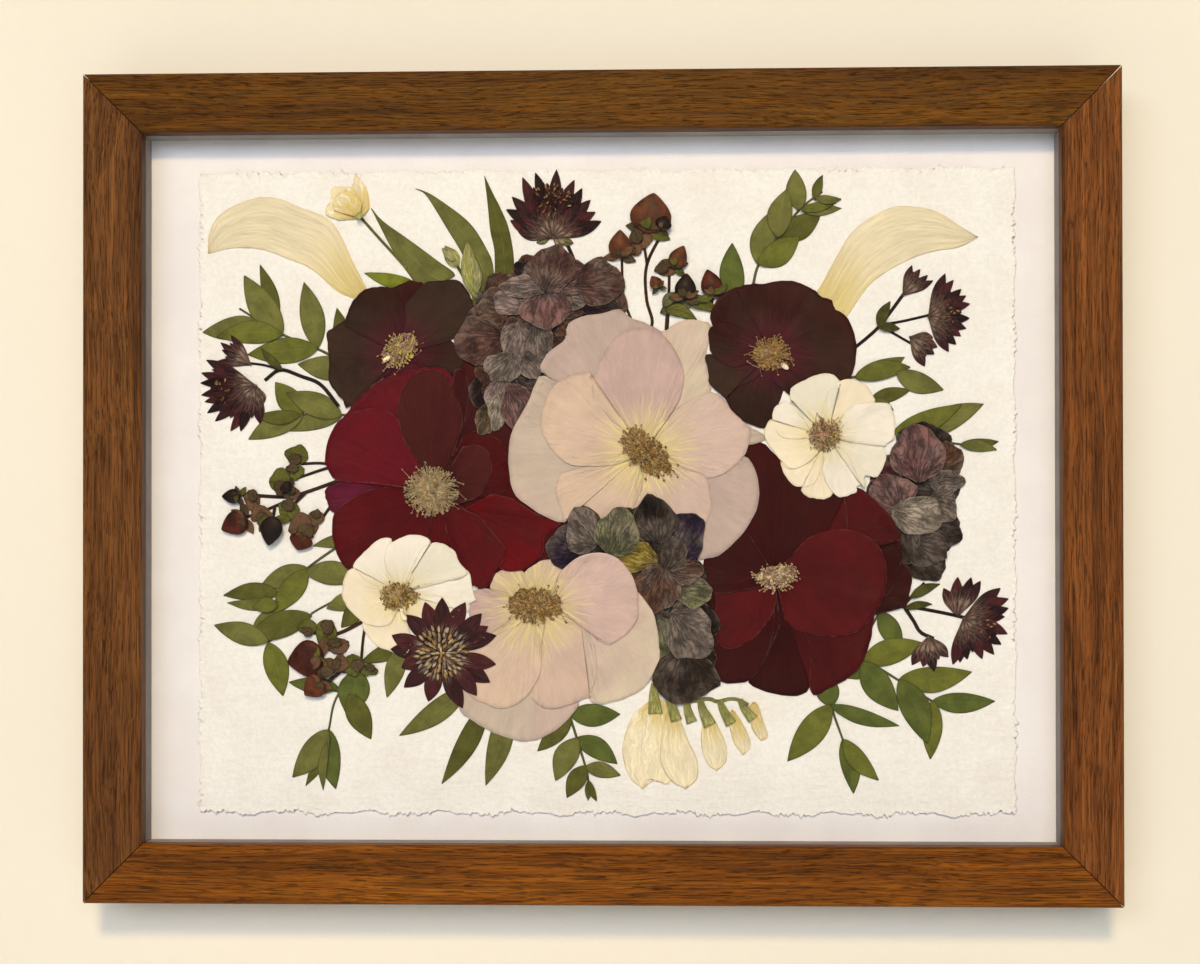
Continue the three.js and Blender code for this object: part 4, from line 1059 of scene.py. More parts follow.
ROSES = (
    Rose("rose_burgundy_left", "burgundy_petal", (-76, 51), petals("""
        WINE_BROWN 1 -60,46 -55,38 -62,32 -70,30 -78,33 -84,40
        WINE_BROWN 1 -80,44 -86,40 -90,38 -96,31 -98,34
        WINE_BLACK 1 -69,52 -62,57 -57,56.5 -53,53 -51.5,48 -54,44 -60,44 -66,45.5
        WINE_GREY 1 -94.5,31 -98,34 -101,37.5 -103.3,41 -103.2,48 -103.6,54 -104.2,59.5 -102,61 -97,64.5
            -90,66
        WINE_BROWN 1 -80,76.3 -76,77.8 -72,79.3 -69,78.6 -67,77.8 -66,70
        WINE_GREY 1 -74,70 -67,77.8 -63,79 -58,79.4 -54,79.3 -51,76.5 -49,72.5 -47,69 -47,64 -50,60 -58,56
        WINE_BLACK 1 -97,62 -96.5,66 -95,70 -91.5,74.5 -88,76.4 -85,77 -80,76.5 -77,74 -74,66
        """),
        Stamens((-76, 52.5), (8.0, 5.4), 40, 260, (Tone.ANTHER_YELLOW, Tone.ANTHER_STRAW, Tone.ANTHER_TAN),
            (Tone.THREAD_PINK, Tone.THREAD_STRAW), pistil=((-82, 48.6), (-80, 50.2))),
        1.4),
    Rose("rose_crimson_left", "crimson_petal", (-62, -1), petals("""
        CRIMSON_DEEP 2 -75,-34 -66,-37 -56,-38 -47,-36 -44,-26
        CRIMSON 2 -104.5,10 -104,17 -101.5,23 -97,28 -93,33 -87,39 -80,42.5 -72,45 -65,46 -58,45 -54,36
        CRIMSON_PLUM 2 -98,3 -104.5,0 -104,-5 -101.5,-9 -92,-10
        CRIMSON_DEEP 2 -78,1.5 -82,0.5 -88,-0.5 -95,-4 -101,-9 -102,-12 -102,-17 -100.5,-24 -98,-29 -95,-31
            -88,-36 -78,-36 -68,-34
        CRIMSON 2 -78,1.2 -90,2.7 -100,3 -104,8 -104.6,12 -103.5,19 -100,25 -95,28.5 -90,30.2 -83,30.3
            -79,28.5 -76,25
        CRIMSON_BLACK 2 -56,18 -52,24 -50,34 -51,44 -55,46
        SCARLET_DARK 2 -52,20 -46,22 -38,18 -33,10 -34,2 -40,-4
        CRIMSON_BROWN 2 -75,19 -77,30 -74,40 -68,45 -60,44 -55,36 -52,27 -54,17
        SCARLET 2,0.45,-52,-8 -41,-2 -33,-4 -27,-8 -21,-11 -15,-13 -21,-18 -21.5,-24 -25,-28 -30,-31 -37,-31
            -42,-24
        CRIMSON_DEEP 2 -50,-9 -45,-11 -42,-15 -38,-20 -35.5,-24 -37,-28 -40,-32 -42,-36.5 -46,-38 -50,-34
            -57,-22
        CRIMSON_BROWN 2 -52,16 -46,16.5 -42,13 -41,7 -42.5,2.5 -46,-3 -54,-6
        CRIMSON_BLACK 0.4 -57,45 -51,50 -46,47 -39,38 -32,28 -29,16 -28,2
        SCARLET_DARK 0.4 -34,12 -29,4 -23,-2 -15,-7 -9,-14 -13,-25 -22,-33 -34,-38 -46,-39
        """),
        Stamens((-64, -1), (10.5, 9.5), 0, 430, (Tone.ANTHER_STRAW, Tone.ANTHER_TAN, Tone.ANTHER_STRAW),
            (Tone.ANTHER_STRAW, Tone.THREAD_STRAW), hollow=0.05, loose=0.1, size=1.0),
        2.4),
    Rose("rose_burgundy_right", "burgundy_petal", (65, 51), petals("""
        WINE_BLACK 3 46,35.5 48,33 50,29.5 53,26.5 57,24 63,23 67,30 70,38
        WINE_GREY 3 56,44.5 50,45 42,50 40,50 41,45 41.5,40 44,37 48,34 50,37 60,42
        WINE_BLACK 3 66,40 74,34 84,33 91,38 88,46
        WINE_BROWN 3 42.5,62 42,66 44,70 47.5,73.5 52,76 57,77 60,74 61,64
        WINE_BROWN 3 58,58 50,62 42,61 41.5,56 42.5,51 50,46 58,47
        WINE_BROWN 3 52,75 57,77 63,77.5 70,78.6 76,77.5 80,75.5 83,72 79,62
        WINE_BROWN 3 76,70 80,75 84,72 88,71 89,67.5 92,66 95,62 96.7,57 97,50 95.5,43 91,39 84,37 75,42
        """),
        Stamens((65, 50.5), (7.2, 6.4), 0, 240, (Tone.ANTHER_TAN, Tone.ANTHER_TAN, Tone.ANTHER_GOLD),
            (Tone.ANTHER_TAN, Tone.THREAD_STRAW), pistil=((69, 46.6), (71, 45.2))),
        3.4),
    Rose("rose_crimson_right", "maroon_petal", (66, -33), petals("""
        MAROON_BLACK 1 68,-52 62,-66 56,-73 60,-76 66,-78 72,-78.7 78,-77.5 80,-73 85,-66 86,-58
        MAROON 1 80,-60 80,-77.7 88,-75 95,-71 99.5,-65 102,-58 104,-47
        MAROON_DEEP 1 52,-52 42,-61 43,-66 43,-71 47,-73.7 52,-73.8 56,-73 62,-66 66,-54
        MAROON_BRIGHT 1 46,-38 42,-37 44,-43 43,-50 44,-57 47,-60.5 53,-60 60,-55 65,-48 67,-42
        MAROON_DEEP 1 58,-38 46,-40 40,-38 39,-30 42,-20 50,-12 60,-12 66,-22
        MAROON_DEEP 1 54,-14 50,0 51,8 54,14 57,17 62,17 67,12 76,6 86,1 92.8,-3 92.8,-16 82,-24
        MAROON_BROWN 2.4,0.45,88,-38 108,-24 113,-27 117.3,-32 117.5,-36.5 116.5,-41 114.5,-45 104,-48
        MAROON_BLACK 2.45,0.45,84,-34 100,-14 109,-16 113,-20 113.8,-26 112,-34 109,-40 100,-44
        MAROON 2.5,0.45,80,-30 88,-20 93,-17 93.3,-8 92.5,-3 95,0 99,-0.5 102,-3 107,-8 110,-11 112,-15.5
            113.5,-20 109,-20 103,-20 96,-26
        MAROON_BRIGHT 3,0.6 74,-24 78,-19.5 83,-17 90,-15.7 97,-16.5 103,-20 107,-25.5 108.3,-33 107,-41
            104,-47 99,-53 92,-56 84,-56 76,-54.5 70,-50
        MAROON_BLACK 0.4 46,-34 39,-42 37,-54 38,-64 44,-71 52,-73
        """),
        Stamens((67, -33.5), (7.6, 4.4), 10, 250, (Tone.ANTHER_CREAM, Tone.THREAD_STRAW, Tone.ANTHER_TAN),
            (Tone.THREAD_PINK, Tone.THREAD_STRAW), loose=0.34),
        3.4),
    Rose("rose_blush_centre", "blush_petal", (17, 14), petals("""
        BLUSH_GREY 2 50,8 53,11 55.5,12 58,8.5 60,3 60.3,-3 59,-9 56,-14.5 52,-19.5 46,-25 40,-26.8 35,-27.5
            33.5,-26 32,-16
        BLUSH_WARM 2 18,54 20,58.5 23,60 25,59.5 28,62 33,63.8 38,63.3 42.2,62 41.5,56 40.3,50 41,43
            41.5,39.5 42,36 34,28
        BLUSH_PALE 2 44,30 52,26 57,23 61,21 63,18.5 58,16.6 50,16
        BLUSH_PINK 2.1 22,22 24,24 28,29 31,31.5 36,34 41,36 44,36 48,33 52,27.5 55,24.5 57,23 56.8,18 55,13
            51,8 46,5 40,3.5 34,4 28,8 26,11
        BLUSH_GREY 4.5 -8,38 -22,44 -21,49 -18,52.5 -14,55.5 -12.5,58 -12.5,61.5 -9,64 -5,65.3 0,66 4,67
            7.5,67.8 12,64.5 17,63 20.5,61 24,58 26,44
        BLUSH_PALE 4.5 -16,40 -22,43 -24,40 -27,33 -33,22 -34.7,15 -34.5,8 -33.5,1 -32,-3 -28,-6 -22,-10
            -15,-13 -11,-11 0,0
        BLUSH_PINK 4.5 14,6 10,-2 12,-9 20,-12 30,-14 36,-16 40,-14 42.5,-7 41.5,-2 41.5,1 40,4 36,6 26,8
        BLUSH 4.55 -14,6 -16,4 -17,0 -16,-5 -14.5,-9 -13.5,-12.5 -9,-10 0,-14 8,-13 12,-9 16,0
        BLUSH_MAUVE 5 6,23.5 2,28 -1,31.5 -3,36 -2.4,41 -1,45 1,50 4.5,55 9,59 15,61 21,59.5 26,56 30,50
            31.8,44 31.3,37 29.5,32 26,27 22,24
        BLUSH 5.1 9,23 5,25 1,30 -3,35 -2.5,43 -7,43.7 -12,42.5 -17,39 -20,34 -22,28 -22,22 -20,17 -16,12
            -11,9 -5,8.3 2,8.5 8,9.5
        """),
        Stamens((17.5, 13.5), (12, 6.2), -45, 340, (Tone.ANTHER_BROWN, Tone.ANTHER_GOLD, Tone.ANTHER_TAN),
            (Tone.ANTHER_GOLD, Tone.THREAD_STRAW), loose=0.08),
        5.3),
    Rose("rose_blush_lower", "blush_petal", (-25, -45), petals("""
        BLUSH 1 -42,-38 -40,-33 -37,-31 -30,-31 -27,-36
        BLUSH_PINK 1 -29,-32 -25,-29 -20,-27 -14,-29 -13,-33 -16,-38
        BLUSH_MAUVE 1 -33,-40 -40,-38.5 -44,-38 -48,-39 -49.5,-42 -49.5,-50 -47,-54.5 -42,-56 -37,-55
            -33,-52.5 -31,-50
        BLUSH_PALE 1 -54,-72 -54,-78 -53.5,-84 -49,-88 -42,-92 -36,-94.5 -30,-96 -24,-95.5 -18,-92.5
            -13,-88.5 -10,-85 -8,-81.5 -10,-72
        BLUSH 2 -12,-47 -10,-50 -4,-52 0,-55.5 3,-60 4.5,-66 4,-71 1,-76 -2.5,-79 -7,-80 -11,-82 -16,-83
            -20,-83.7 -24,-82 -26.5,-79 -26,-76 -23,-70
        BLUSH 2.1 -21,-52 -22.3,-60 -22.3,-68 -24,-73 -27,-78 -31,-81.5 -36,-83.5 -41,-83 -47,-80.5 -51,-77
            -54,-72 -55,-64 -50,-60 -42,-57 -36,-54 -31,-52
        BLUSH_WARM 7.4,0.45,-8,-46 4,-32 14,-39 17.5,-43 20,-47 21.5,-52 22.3,-58 22.5,-64 20.5,-69 18,-74
            15,-77 10,-79.5 5,-81.3 0,-81.8 -4,-80 -1,-70 -2,-60
        BLUSH_ROSE 7.5,0.6,-18,-44 -16,-39 -16,-33 -13,-30 -9,-26.5 -4,-24.8 0,-24.5 5,-25.5 9,-28.5 12,-33
            14,-38 14.5,-44 14,-49 11.5,-54 8,-57 3,-59.5 -1,-57 -5,-53 -10,-50
        """),
        Stamens((-24.5, -44.5), (10.5, 7), 0, 320, (Tone.ANTHER_GOLD, Tone.ANTHER_TAN, Tone.ANTHER_BROWN),
            (Tone.ANTHER_GOLD, Tone.THREAD_STRAW), loose=0.06),
        7.7),
    Rose("rose_white_right", "ivory_petal", (86, 19.5), petals("""
        IVORY_WARM 4.5 82,13 78,9 73,6.9 70,8 68.3,10 69.5,6 72,2 75,0.5 80,1 83,4.5 84,7 86,12
        IVORY_WARM 4.5 83.5,6 81,1.5 77,0 76,-1 78,-3 81,-4 85,-4.2 88,-2.4 88,4
        IVORY 4.5 84,6 86,1 88.5,-2.3 91,-3.5 94,-3 97,-1.5 97,0.6 99,1 100,-0.2 99.8,4 94,12
        IVORY_GREY 4.5 91,16 94,12 99.5,0 100,4.5 104.5,4 107.5,9 108,12 107,15 106.5,16.5 96,20
        IVORY_WARM 4.5 86,24 85,32 86,36 88,38.5 91,40.3 95,41 98,40 101,38.2 103,35 104,32.3 98,28 90,24
        IVORY 4.5 90,24 94,30 98,31.8 104,32 109,31.7 110.5,29.5 111.6,26 111.3,22 111,18.5 108,16.5 107,15.8
            96,17
        IVORY_GREY 4.5 83,24 80,28 76,32 72.5,33 72,36 73,38.5 77,40.3 80,42 83,43 87,43 90,41 91,39 87,37
            85,33 84,26
        IVORY 4.5 82,20 80,22 76,27 73,30.5 72,32.5 68.5,32 66,30 65.3,27 65.8,24 67,20 69,17.7 74,17.3 81,18
        IVORY_WARM 4.5 79,18.5 72,18.4 67.5,20 65.5,25 64.5,26 62.8,23.5 62.3,21 63,18 65.5,14 68,11 71,8
            73,7 76,8 80,10.5 83,14
        """),
        Stamens((85, 20), (6, 6.6), 0, 190, (Tone.ANTHER_TAN, Tone.ANTHER_YELLOW, Tone.ANTHER_BROWN),
            (Tone.THREAD_STRAW, Tone.THREAD_PINK), size=0.95),
        4.8),
    Rose("rose_white_left", "ivory_petal", (-76, -39.5), petals("""
        IVORY_WARM 3 -70,-40 -60,-40.5 -56,-45 -57,-52 -66,-56 -72,-52 -74,-46
        IVORY 3 -69,-38 -63,-33 -57,-30 -50.5,-31 -48.8,-35 -48,-40 -47,-42.3 -50,-44 -50,-47 -56,-45 -60,-41
            -68,-41
        IVORY_GREY 3 -71,-35 -71,-28 -70,-24 -66,-21.5 -62,-20.5 -58,-21.7 -55,-24 -54,-27 -52,-29.5 -50,-32
            -53,-34 -62,-35
        IVORY 3 -81,-34 -82,-26 -81,-22 -79,-19.3 -82,-18.6 -86,-20.5 -90,-24.5 -94,-29.3 -91,-33 -84,-38
        IVORY 3 -79,-35 -82,-28 -81,-22 -78,-19.7 -74,-18 -70,-17.5 -67,-18 -64,-20.5 -67,-22 -70,-27 -72,-34
        IVORY_WARM 3 -79,-44 -84,-52 -90.5,-51 -89,-55 -86,-59 -82,-61 -78,-62.5 -75,-63.5 -72,-60 -73,-52
            -74,-45
        IVORY_WARM 3.05 -82,-39 -90,-34 -93.5,-30 -97,-33 -98,-37 -98.3,-40.5 -97,-43.5 -95.5,-46 -93,-48.5
            -90,-50.7 -85,-52.5 -80,-51.5 -77,-46
        """),
        Stamens((-76.5, -41), (7.2, 5.4), 0, 200, (Tone.ANTHER_GOLD, Tone.ANTHER_YELLOW, Tone.ANTHER_BROWN),
            (Tone.THREAD_STRAW, Tone.ANTHER_GOLD), hollow=0.45, size=0.95,
            pistil=traced("-76,-45.5 -75,-47.6 -74,-50")),
        3.4),
)


# ---- hydrangea, masterwort, pods, lily and freesia -----------------------------------------------------


def round_petal(left: float, right: float, low: float, high: float, hub: Point,
                seed: float = 0.0) -> tuple[Point, Points]:
    """A rounded, slightly cornered petal that fills a box, as its base and its edge.

    Args:
        left: The box's left side.
        right: The box's right side.
        low: The box's lower side.
        high: The box's upper side.
        hub: The floret's middle, which the petal's base is nearest to.
        seed: Picks the petal's unevenness.

    Returns:
        The base and the edge, from one side round the tip to the other.
    """
    x, z = (left + right) / 2, (low + high) / 2
    half = (right - left) / 2, (high - low) / 2
    away = math.atan2((z - hub[1]) / half[1], (x - hub[0]) / half[0])
    edge = []
    for a in np.radians(np.arange(-150, 151, 25)):
        far = (1 + 0.05 * math.cos(4 * a + math.sin(seed)) + 0.05 * math.sin(3 * a + seed * 2)
               + 0.04 * math.sin(7 * a + seed * 3) + 0.06 * math.exp(-(a / 0.3) ** 2))
        edge.append((x + far * half[0] * math.cos(away + a), z + far * half[1] * math.sin(away + a)))
    base = (x - 1.06 * half[0] * math.cos(away), z - 1.06 * half[1] * math.sin(away))
    return base, edge


def florets(text: str) -> tuple[tuple[Tone, float, Numbers, Point], ...]:
    """Hydrangea petals from text, as their colour, layer, box and floret's middle."""
    return tuple((Tone[tone], layer, box, hub) for tone, ((layer,), box, hub) in table(text))


FLORETS = {
    "hydrangea_upper": florets("""
        UMBER 3 -45,-35,62,75 -32,68 MAUVE_PALE 3.1 -39.5,-27,66,75 -27,68 MAUVE_DARK 3 -32.5,-25,80,86 -24,78
        MAUVE 3.1 -54,-37,48,64 -34,58 MAUVE_PALE 3.2 -37,-26,49,62 -30,64 TAUPE 3.3 -27,-18,50,62 -24,64
        MAUVE_PALE 3.1 -43,-32,30,41 -36,44 TAUPE 3.2 -30,-22,42,50 -30,52 TAUPE 3.3 -43,-30,41,51 -31,53
        BRONZE 3 -47,-40,21,31 -39,36 TAUPE_LIGHT 3.1 -42,-36,23,35 -37,38
        MAUVE_PINK 3.4 -36.5,-26,23,39 -36,43 MAUVE_DARK 3.1 -7,6,65.5,74 -14,73 TAUPE 3.2 -13,-5,68,75 -18,75
        MAUVE 3.3 -8,7.8,70,86 -15,75 MAUVE_PINK 3.2 -18,-5.5,74,84 -21,76
        MAUVE_PINK 3.3 -29,-12,61.5,77 -20.5,77 TAUPE 3.35 -29,-21,77,84 -21,76
        MAUVE_PALE 3.45 -36.5,-21,72.5,80 -20,76 MAUVE 3.5 -26,-10,75.5,91 -20,75
    """), "hydrangea_middle": florets("""
        TAUPE_GREEN 6 19.5,28,-64,-50 23,-46 SLATE 6.05 21,43,-80,-62 32,-60 TAUPE 6.1 26,42,-64,-46 24,-44
        TAUPE_GREEN 6.1 29,41.5,-44.5,-34.5 26,-38 SLATE_PURPLE 6.15 26,39,-27,-10 26,-30
        UMBER 6.2 25,38,-36,-27.5 25,-32 SLATE 6.25 19,32,-31,-19 24,-32
        SLATE_DARK 6.3 13,28,-20.5,-4.5 24,-28 OCHRE 6.3 6,21,-31.5,-21 24,-29
        UMBER 6.4 13.5,29,-46,-30.5 24,-29 SLATE_PURPLE 6.2 -19,-8,-30,-15.5 0,-24
        TAUPE 6.4 -12,-1,-24.5,-8 2,-25 TAUPE_GREEN 6.5 -0.5,14,-25,-9 4,-26
    """), "hydrangea_right": florets("""
        SLATE_DARK 1 113,131,13,23.5 120,4 UMBER 1.05 127,136.5,4,16 121,3 TAUPE 1.1 125,136.5,-2,6 121,2
        PLUM_RED 1 103,113,-0.5,9 120,2 TAUPE 1.2 125,134,-13,0 121,-2 SLATE 1.05 109,120,-33,-24 116,-22
        SLATE_DARK 1.1 117,135.5,-23,-12 113,-14 SLATE 1.2 115,130,-34.5,-25 115,-22
        SLATE_DARK 1.25 116,130,-29,-17 112,-18 SLATE 1.3 109,120,-27,-11 112,-8
        MAUVE_PINK 1.35 102.5,118,-9,4 114,-10 TAUPE_LIGHT 1.4 111,128,-17,-4 110,-8
        MAUVE_PINK 1.5 111,129,3.5,21.5 120,2
    """),
}


# tones of the petals under each cluster: their darkness is partly painted shade in the gaps between petals
BEDS = {
    "hydrangea_upper": ((Tone.MAUVE_DARK, Tone.MAUVE, Tone.UMBER, Tone.MAUVE_PINK),
        traced("-34.6,85 -24,91 -10.3,86 8.3,83 9.7,66 -10,59 -20,40 -27,24 -45,23 -52,47 -52,68 -44,76")),
    "hydrangea_middle": ((Tone.SLATE_DARK, Tone.SLATE, Tone.UMBER, Tone.SLATE), traced(
            "-20,-14 -10,-10 0,-9 14,-5 27,-7 38.2,-14.9 38,-23.5 40.4,-29 41,-43.5 45,-55 42,-75 "
            "31,-79.5 21,-72 22,-55 18,-42 13,-37 5,-33 -10,-31 -18,-26")),
    "hydrangea_right": ((Tone.SLATE, Tone.SLATE_DARK, Tone.UMBER, Tone.MAUVE_DARK), traced(
            "108,12 118,21.5 129,19.5 136,11 137,2 133.6,-7.5 135.6,-18 129,-30 121,-34 115,-30 112,-14 "
            "101,2")),
}


def inside(x: float, z: float, outline: Points) -> bool:
    """Whether a place is inside a closed outline."""
    hits = 0
    for (x0, z0), (x1, z1) in zip(outline, (*outline[1:], outline[0])):
        if (z0 > z) != (z1 > z) and x < x0 + (z - z0) * (x1 - x0) / (z1 - z0):
            hits += 1
    return hits % 2 == 1


def under_petals(cluster: Specimen, tones: tuple[Tone, ...], outline: Points, level: float) -> None:
    """Fills a cluster's outline with petals that lie under the traced ones, in darker tones that are partly painted
    shade in the gaps between petals.
    """
    rng = np.random.default_rng(len(cluster.name))
    middle = np.mean(outline, axis=0)
    for k, row in enumerate(np.arange(-90, 95, 6.4)):
        for column in np.arange(-60, 145, 7.6):
            x = column + (k % 2) * 3.8 + rng.uniform(-1.2, 1.2)
            z = row + rng.uniform(-1.2, 1.2)
            reach = rng.uniform(5.4, 7.0), rng.uniform(5.4, 7.0)
            hub = x + rng.normal(0, 9), z + rng.normal(0, 9)
            tone = tones[int(rng.integers(len(tones)))]
            out = np.array([x, z]) + (np.array([x, z]) - middle) / max(math.dist((x, z), middle), 1) * 4.6
            if inside(x, z, outline) and inside(*out, outline):
                base, edge = round_petal(x - reach[0], x + reach[0], z - reach[1], z + reach[1], hub, x + z)
                cluster.add(fan(base, edge, 16, 10, wander=0.3, seed=z), tone, level + rng.uniform(0, 0.08),
                            middle=base, curl=0.4, ripple=0.12)


def grow_hydrangeas(finish: PetalFinish) -> list[Specimen]:
    """The three clusters of hydrangea petals."""
    grown = []
    for name, rows in FLORETS.items():
        cluster = Specimen(name, "hydrangea_petal", finish)
        tones, outline = BEDS[name]
        under_petals(cluster, tones, outline, min(row[1] for row in rows) - 0.12)
        for k, (tone, level, (left, right, low, high), hub) in enumerate(rows):
            wide, tall = (right - left) * 0.07, (high - low) * 0.07
            base, edge = round_petal(left - wide, right + wide, low - tall, high + tall, hub, k * 1.9)
            place = fan(base, edge, 28, 20, wander=0.4, seed=k * 2.3)
            cluster.add(place, tone, level, middle=base, curl=0.5, ripple=0.16)
        grown.append(cluster)
    return grown


@dataclass(frozen=True)
class BractFan:
    """Rings or half rings of pointed bracts round one point."""

    base: Point
    tips: tuple[Point, ...]
    width: float = 4.6
    level: float = 0.0
    tones: tuple[Tone, ...] = (Tone.PLUM, Tone.PLUM_RED, Tone.PLUM_DARK)
    rings: int = 1

    def grow(self, flower: Specimen) -> None:
        """Adds the bracts, each over its neighbour, and each inner ring over the one outside it."""
        for ring in range(self.rings):
            share = 1 - 0.19 * ring
            tips = self.tips
            if ring % 2:
                tips = tuple(((a[0] + b[0]) / 2, (a[1] + b[1]) / 2) for a, b in zip(tips, tips[1:]))
            for k, tip in enumerate(tips):
                far = share * (1 + 0.05 * math.sin(k * 2.9 + ring)) if ring else 1.0
                end = (self.base[0] + (tip[0] - self.base[0]) * far, self.base[1] + (tip[1] - self.base[1]) * far)
                place = leaf(self.base, end, self.width * share, bend=0.03 * math.sin(k * 2.1), full=1.45, out=16,
                             across=6)
                flower.add(place, self.tones[(k + ring) % len(self.tones)], self.level + 0.07 * ring + 0.02 * (k % 3),
                           middle=self.base, curl=0.3, ripple=0.06, loose=True,
                           lift=0.12 + 0.3 * ring + 0.09 * (k % 3))


@dataclass(frozen=True)
class Masterwort:
    """A masterwort flower or spray: bract fans, stems, small leaves and the pin-cushion of threads."""

    name: str
    fans: tuple[BractFan, ...]
    stems: tuple[tuple[float, tuple[Point, ...]], ...] = ()
    leaves: tuple[tuple[Point, Point, float], ...] = ()
    cushions: tuple[tuple[Point, float, float, int], ...] = ()     # middle, half width, half height, count
    disc: float = 0.0                 # reach of a disc of florets seen from above
    pins: tuple[Tone, ...] = (Tone.ANTHER_BROWN, Tone.PLUM_RED, Tone.ANTHER_TAN, Tone.PLUM)

    def grow(self, finish: PetalFinish, small: SpeckFinish) -> Specimen:
        """Makes the flower's plates, threads and beads."""
        flower = Specimen(self.name, "masterwort", finish, small)
        level = self.fans[0].level
        for width, points in self.stems:
            flower.add(ribbon(points, width), Tone.STALK_DARK, level - 0.1, bulge=0.3, curl=0, ripple=0,
                       middle=AWAY)
        for base, tip, width in self.leaves:
            flower.add(leaf(base, tip, width, 0.05), Tone.OLIVE_DARK, level - 0.05, middle=AWAY, curl=0.2)
        for bracts in self.fans:
            bracts.grow(flower)
        rng = np.random.default_rng(len(self.name) * 7)
        for (x, z), wide, high, count in self.cushions:
            for k in range(count):
                angle, far = rng.uniform(0, 2 * math.pi), math.sqrt(rng.random())
                self.pin(flower, x + wide * far * math.cos(angle), z + high * far * math.sin(angle),
                         math.degrees(angle) + rng.normal(0, 25), rng.uniform(1.1, 1.9), k, rng)
        if self.disc:
            self.florets(flower, rng)
        return flower

    def pin(self, flower: Specimen, x: float, z: float, turn: float, size: float, k: int,
            rng: np.random.Generator) -> None:
        """Adds one anther of the pin-cushion."""
        tone = self.pins[int(rng.integers(len(self.pins)))]
        flower.beads.append(Bead(x, z, size, size * 0.42, turn, tone, self.fans[0].level + 0.4 + 0.001 * k,
                                 lift=0.4 + 0.3 * self.fans[0].rings + rng.uniform(0.0, 0.3)))

    def florets(self, flower: Specimen, rng: np.random.Generator) -> None:
        """Adds the disc: rings of florets that point outwards, with darker threads between them."""
        x0, z0 = self.fans[0].base
        level = self.fans[0].level + 0.3
        for ring, reach in enumerate(np.linspace(0.12, 1.0, 5) * self.disc):
            count = max(4, int(reach * 3.1))
            for k in range(count):
                angle = 2 * math.pi * (k + 0.5 * (ring % 2)) / count + rng.normal(0, 0.05)
                far = reach + rng.normal(0, 0.3)
                at = (x0 + far * math.cos(angle), z0 + far * math.sin(angle))
                self.pin(flower, *at, math.degrees(angle) + rng.normal(0, 10), rng.uniform(2.5, 3.3), ring * 60 + k,
                         rng)
                root = (x0 + (far - 2) * math.cos(angle + 0.1), z0 + (far - 2) * math.sin(angle + 0.1))
                end = (x0 + (far + 1.3) * math.cos(angle + 0.12), z0 + (far + 1.3) * math.sin(angle + 0.12))
                flower.threads.append(Thread(root, end, 0.05, 0.4, Tone.PLUM_DARK, level, 0.6).plate(k * 0.7))


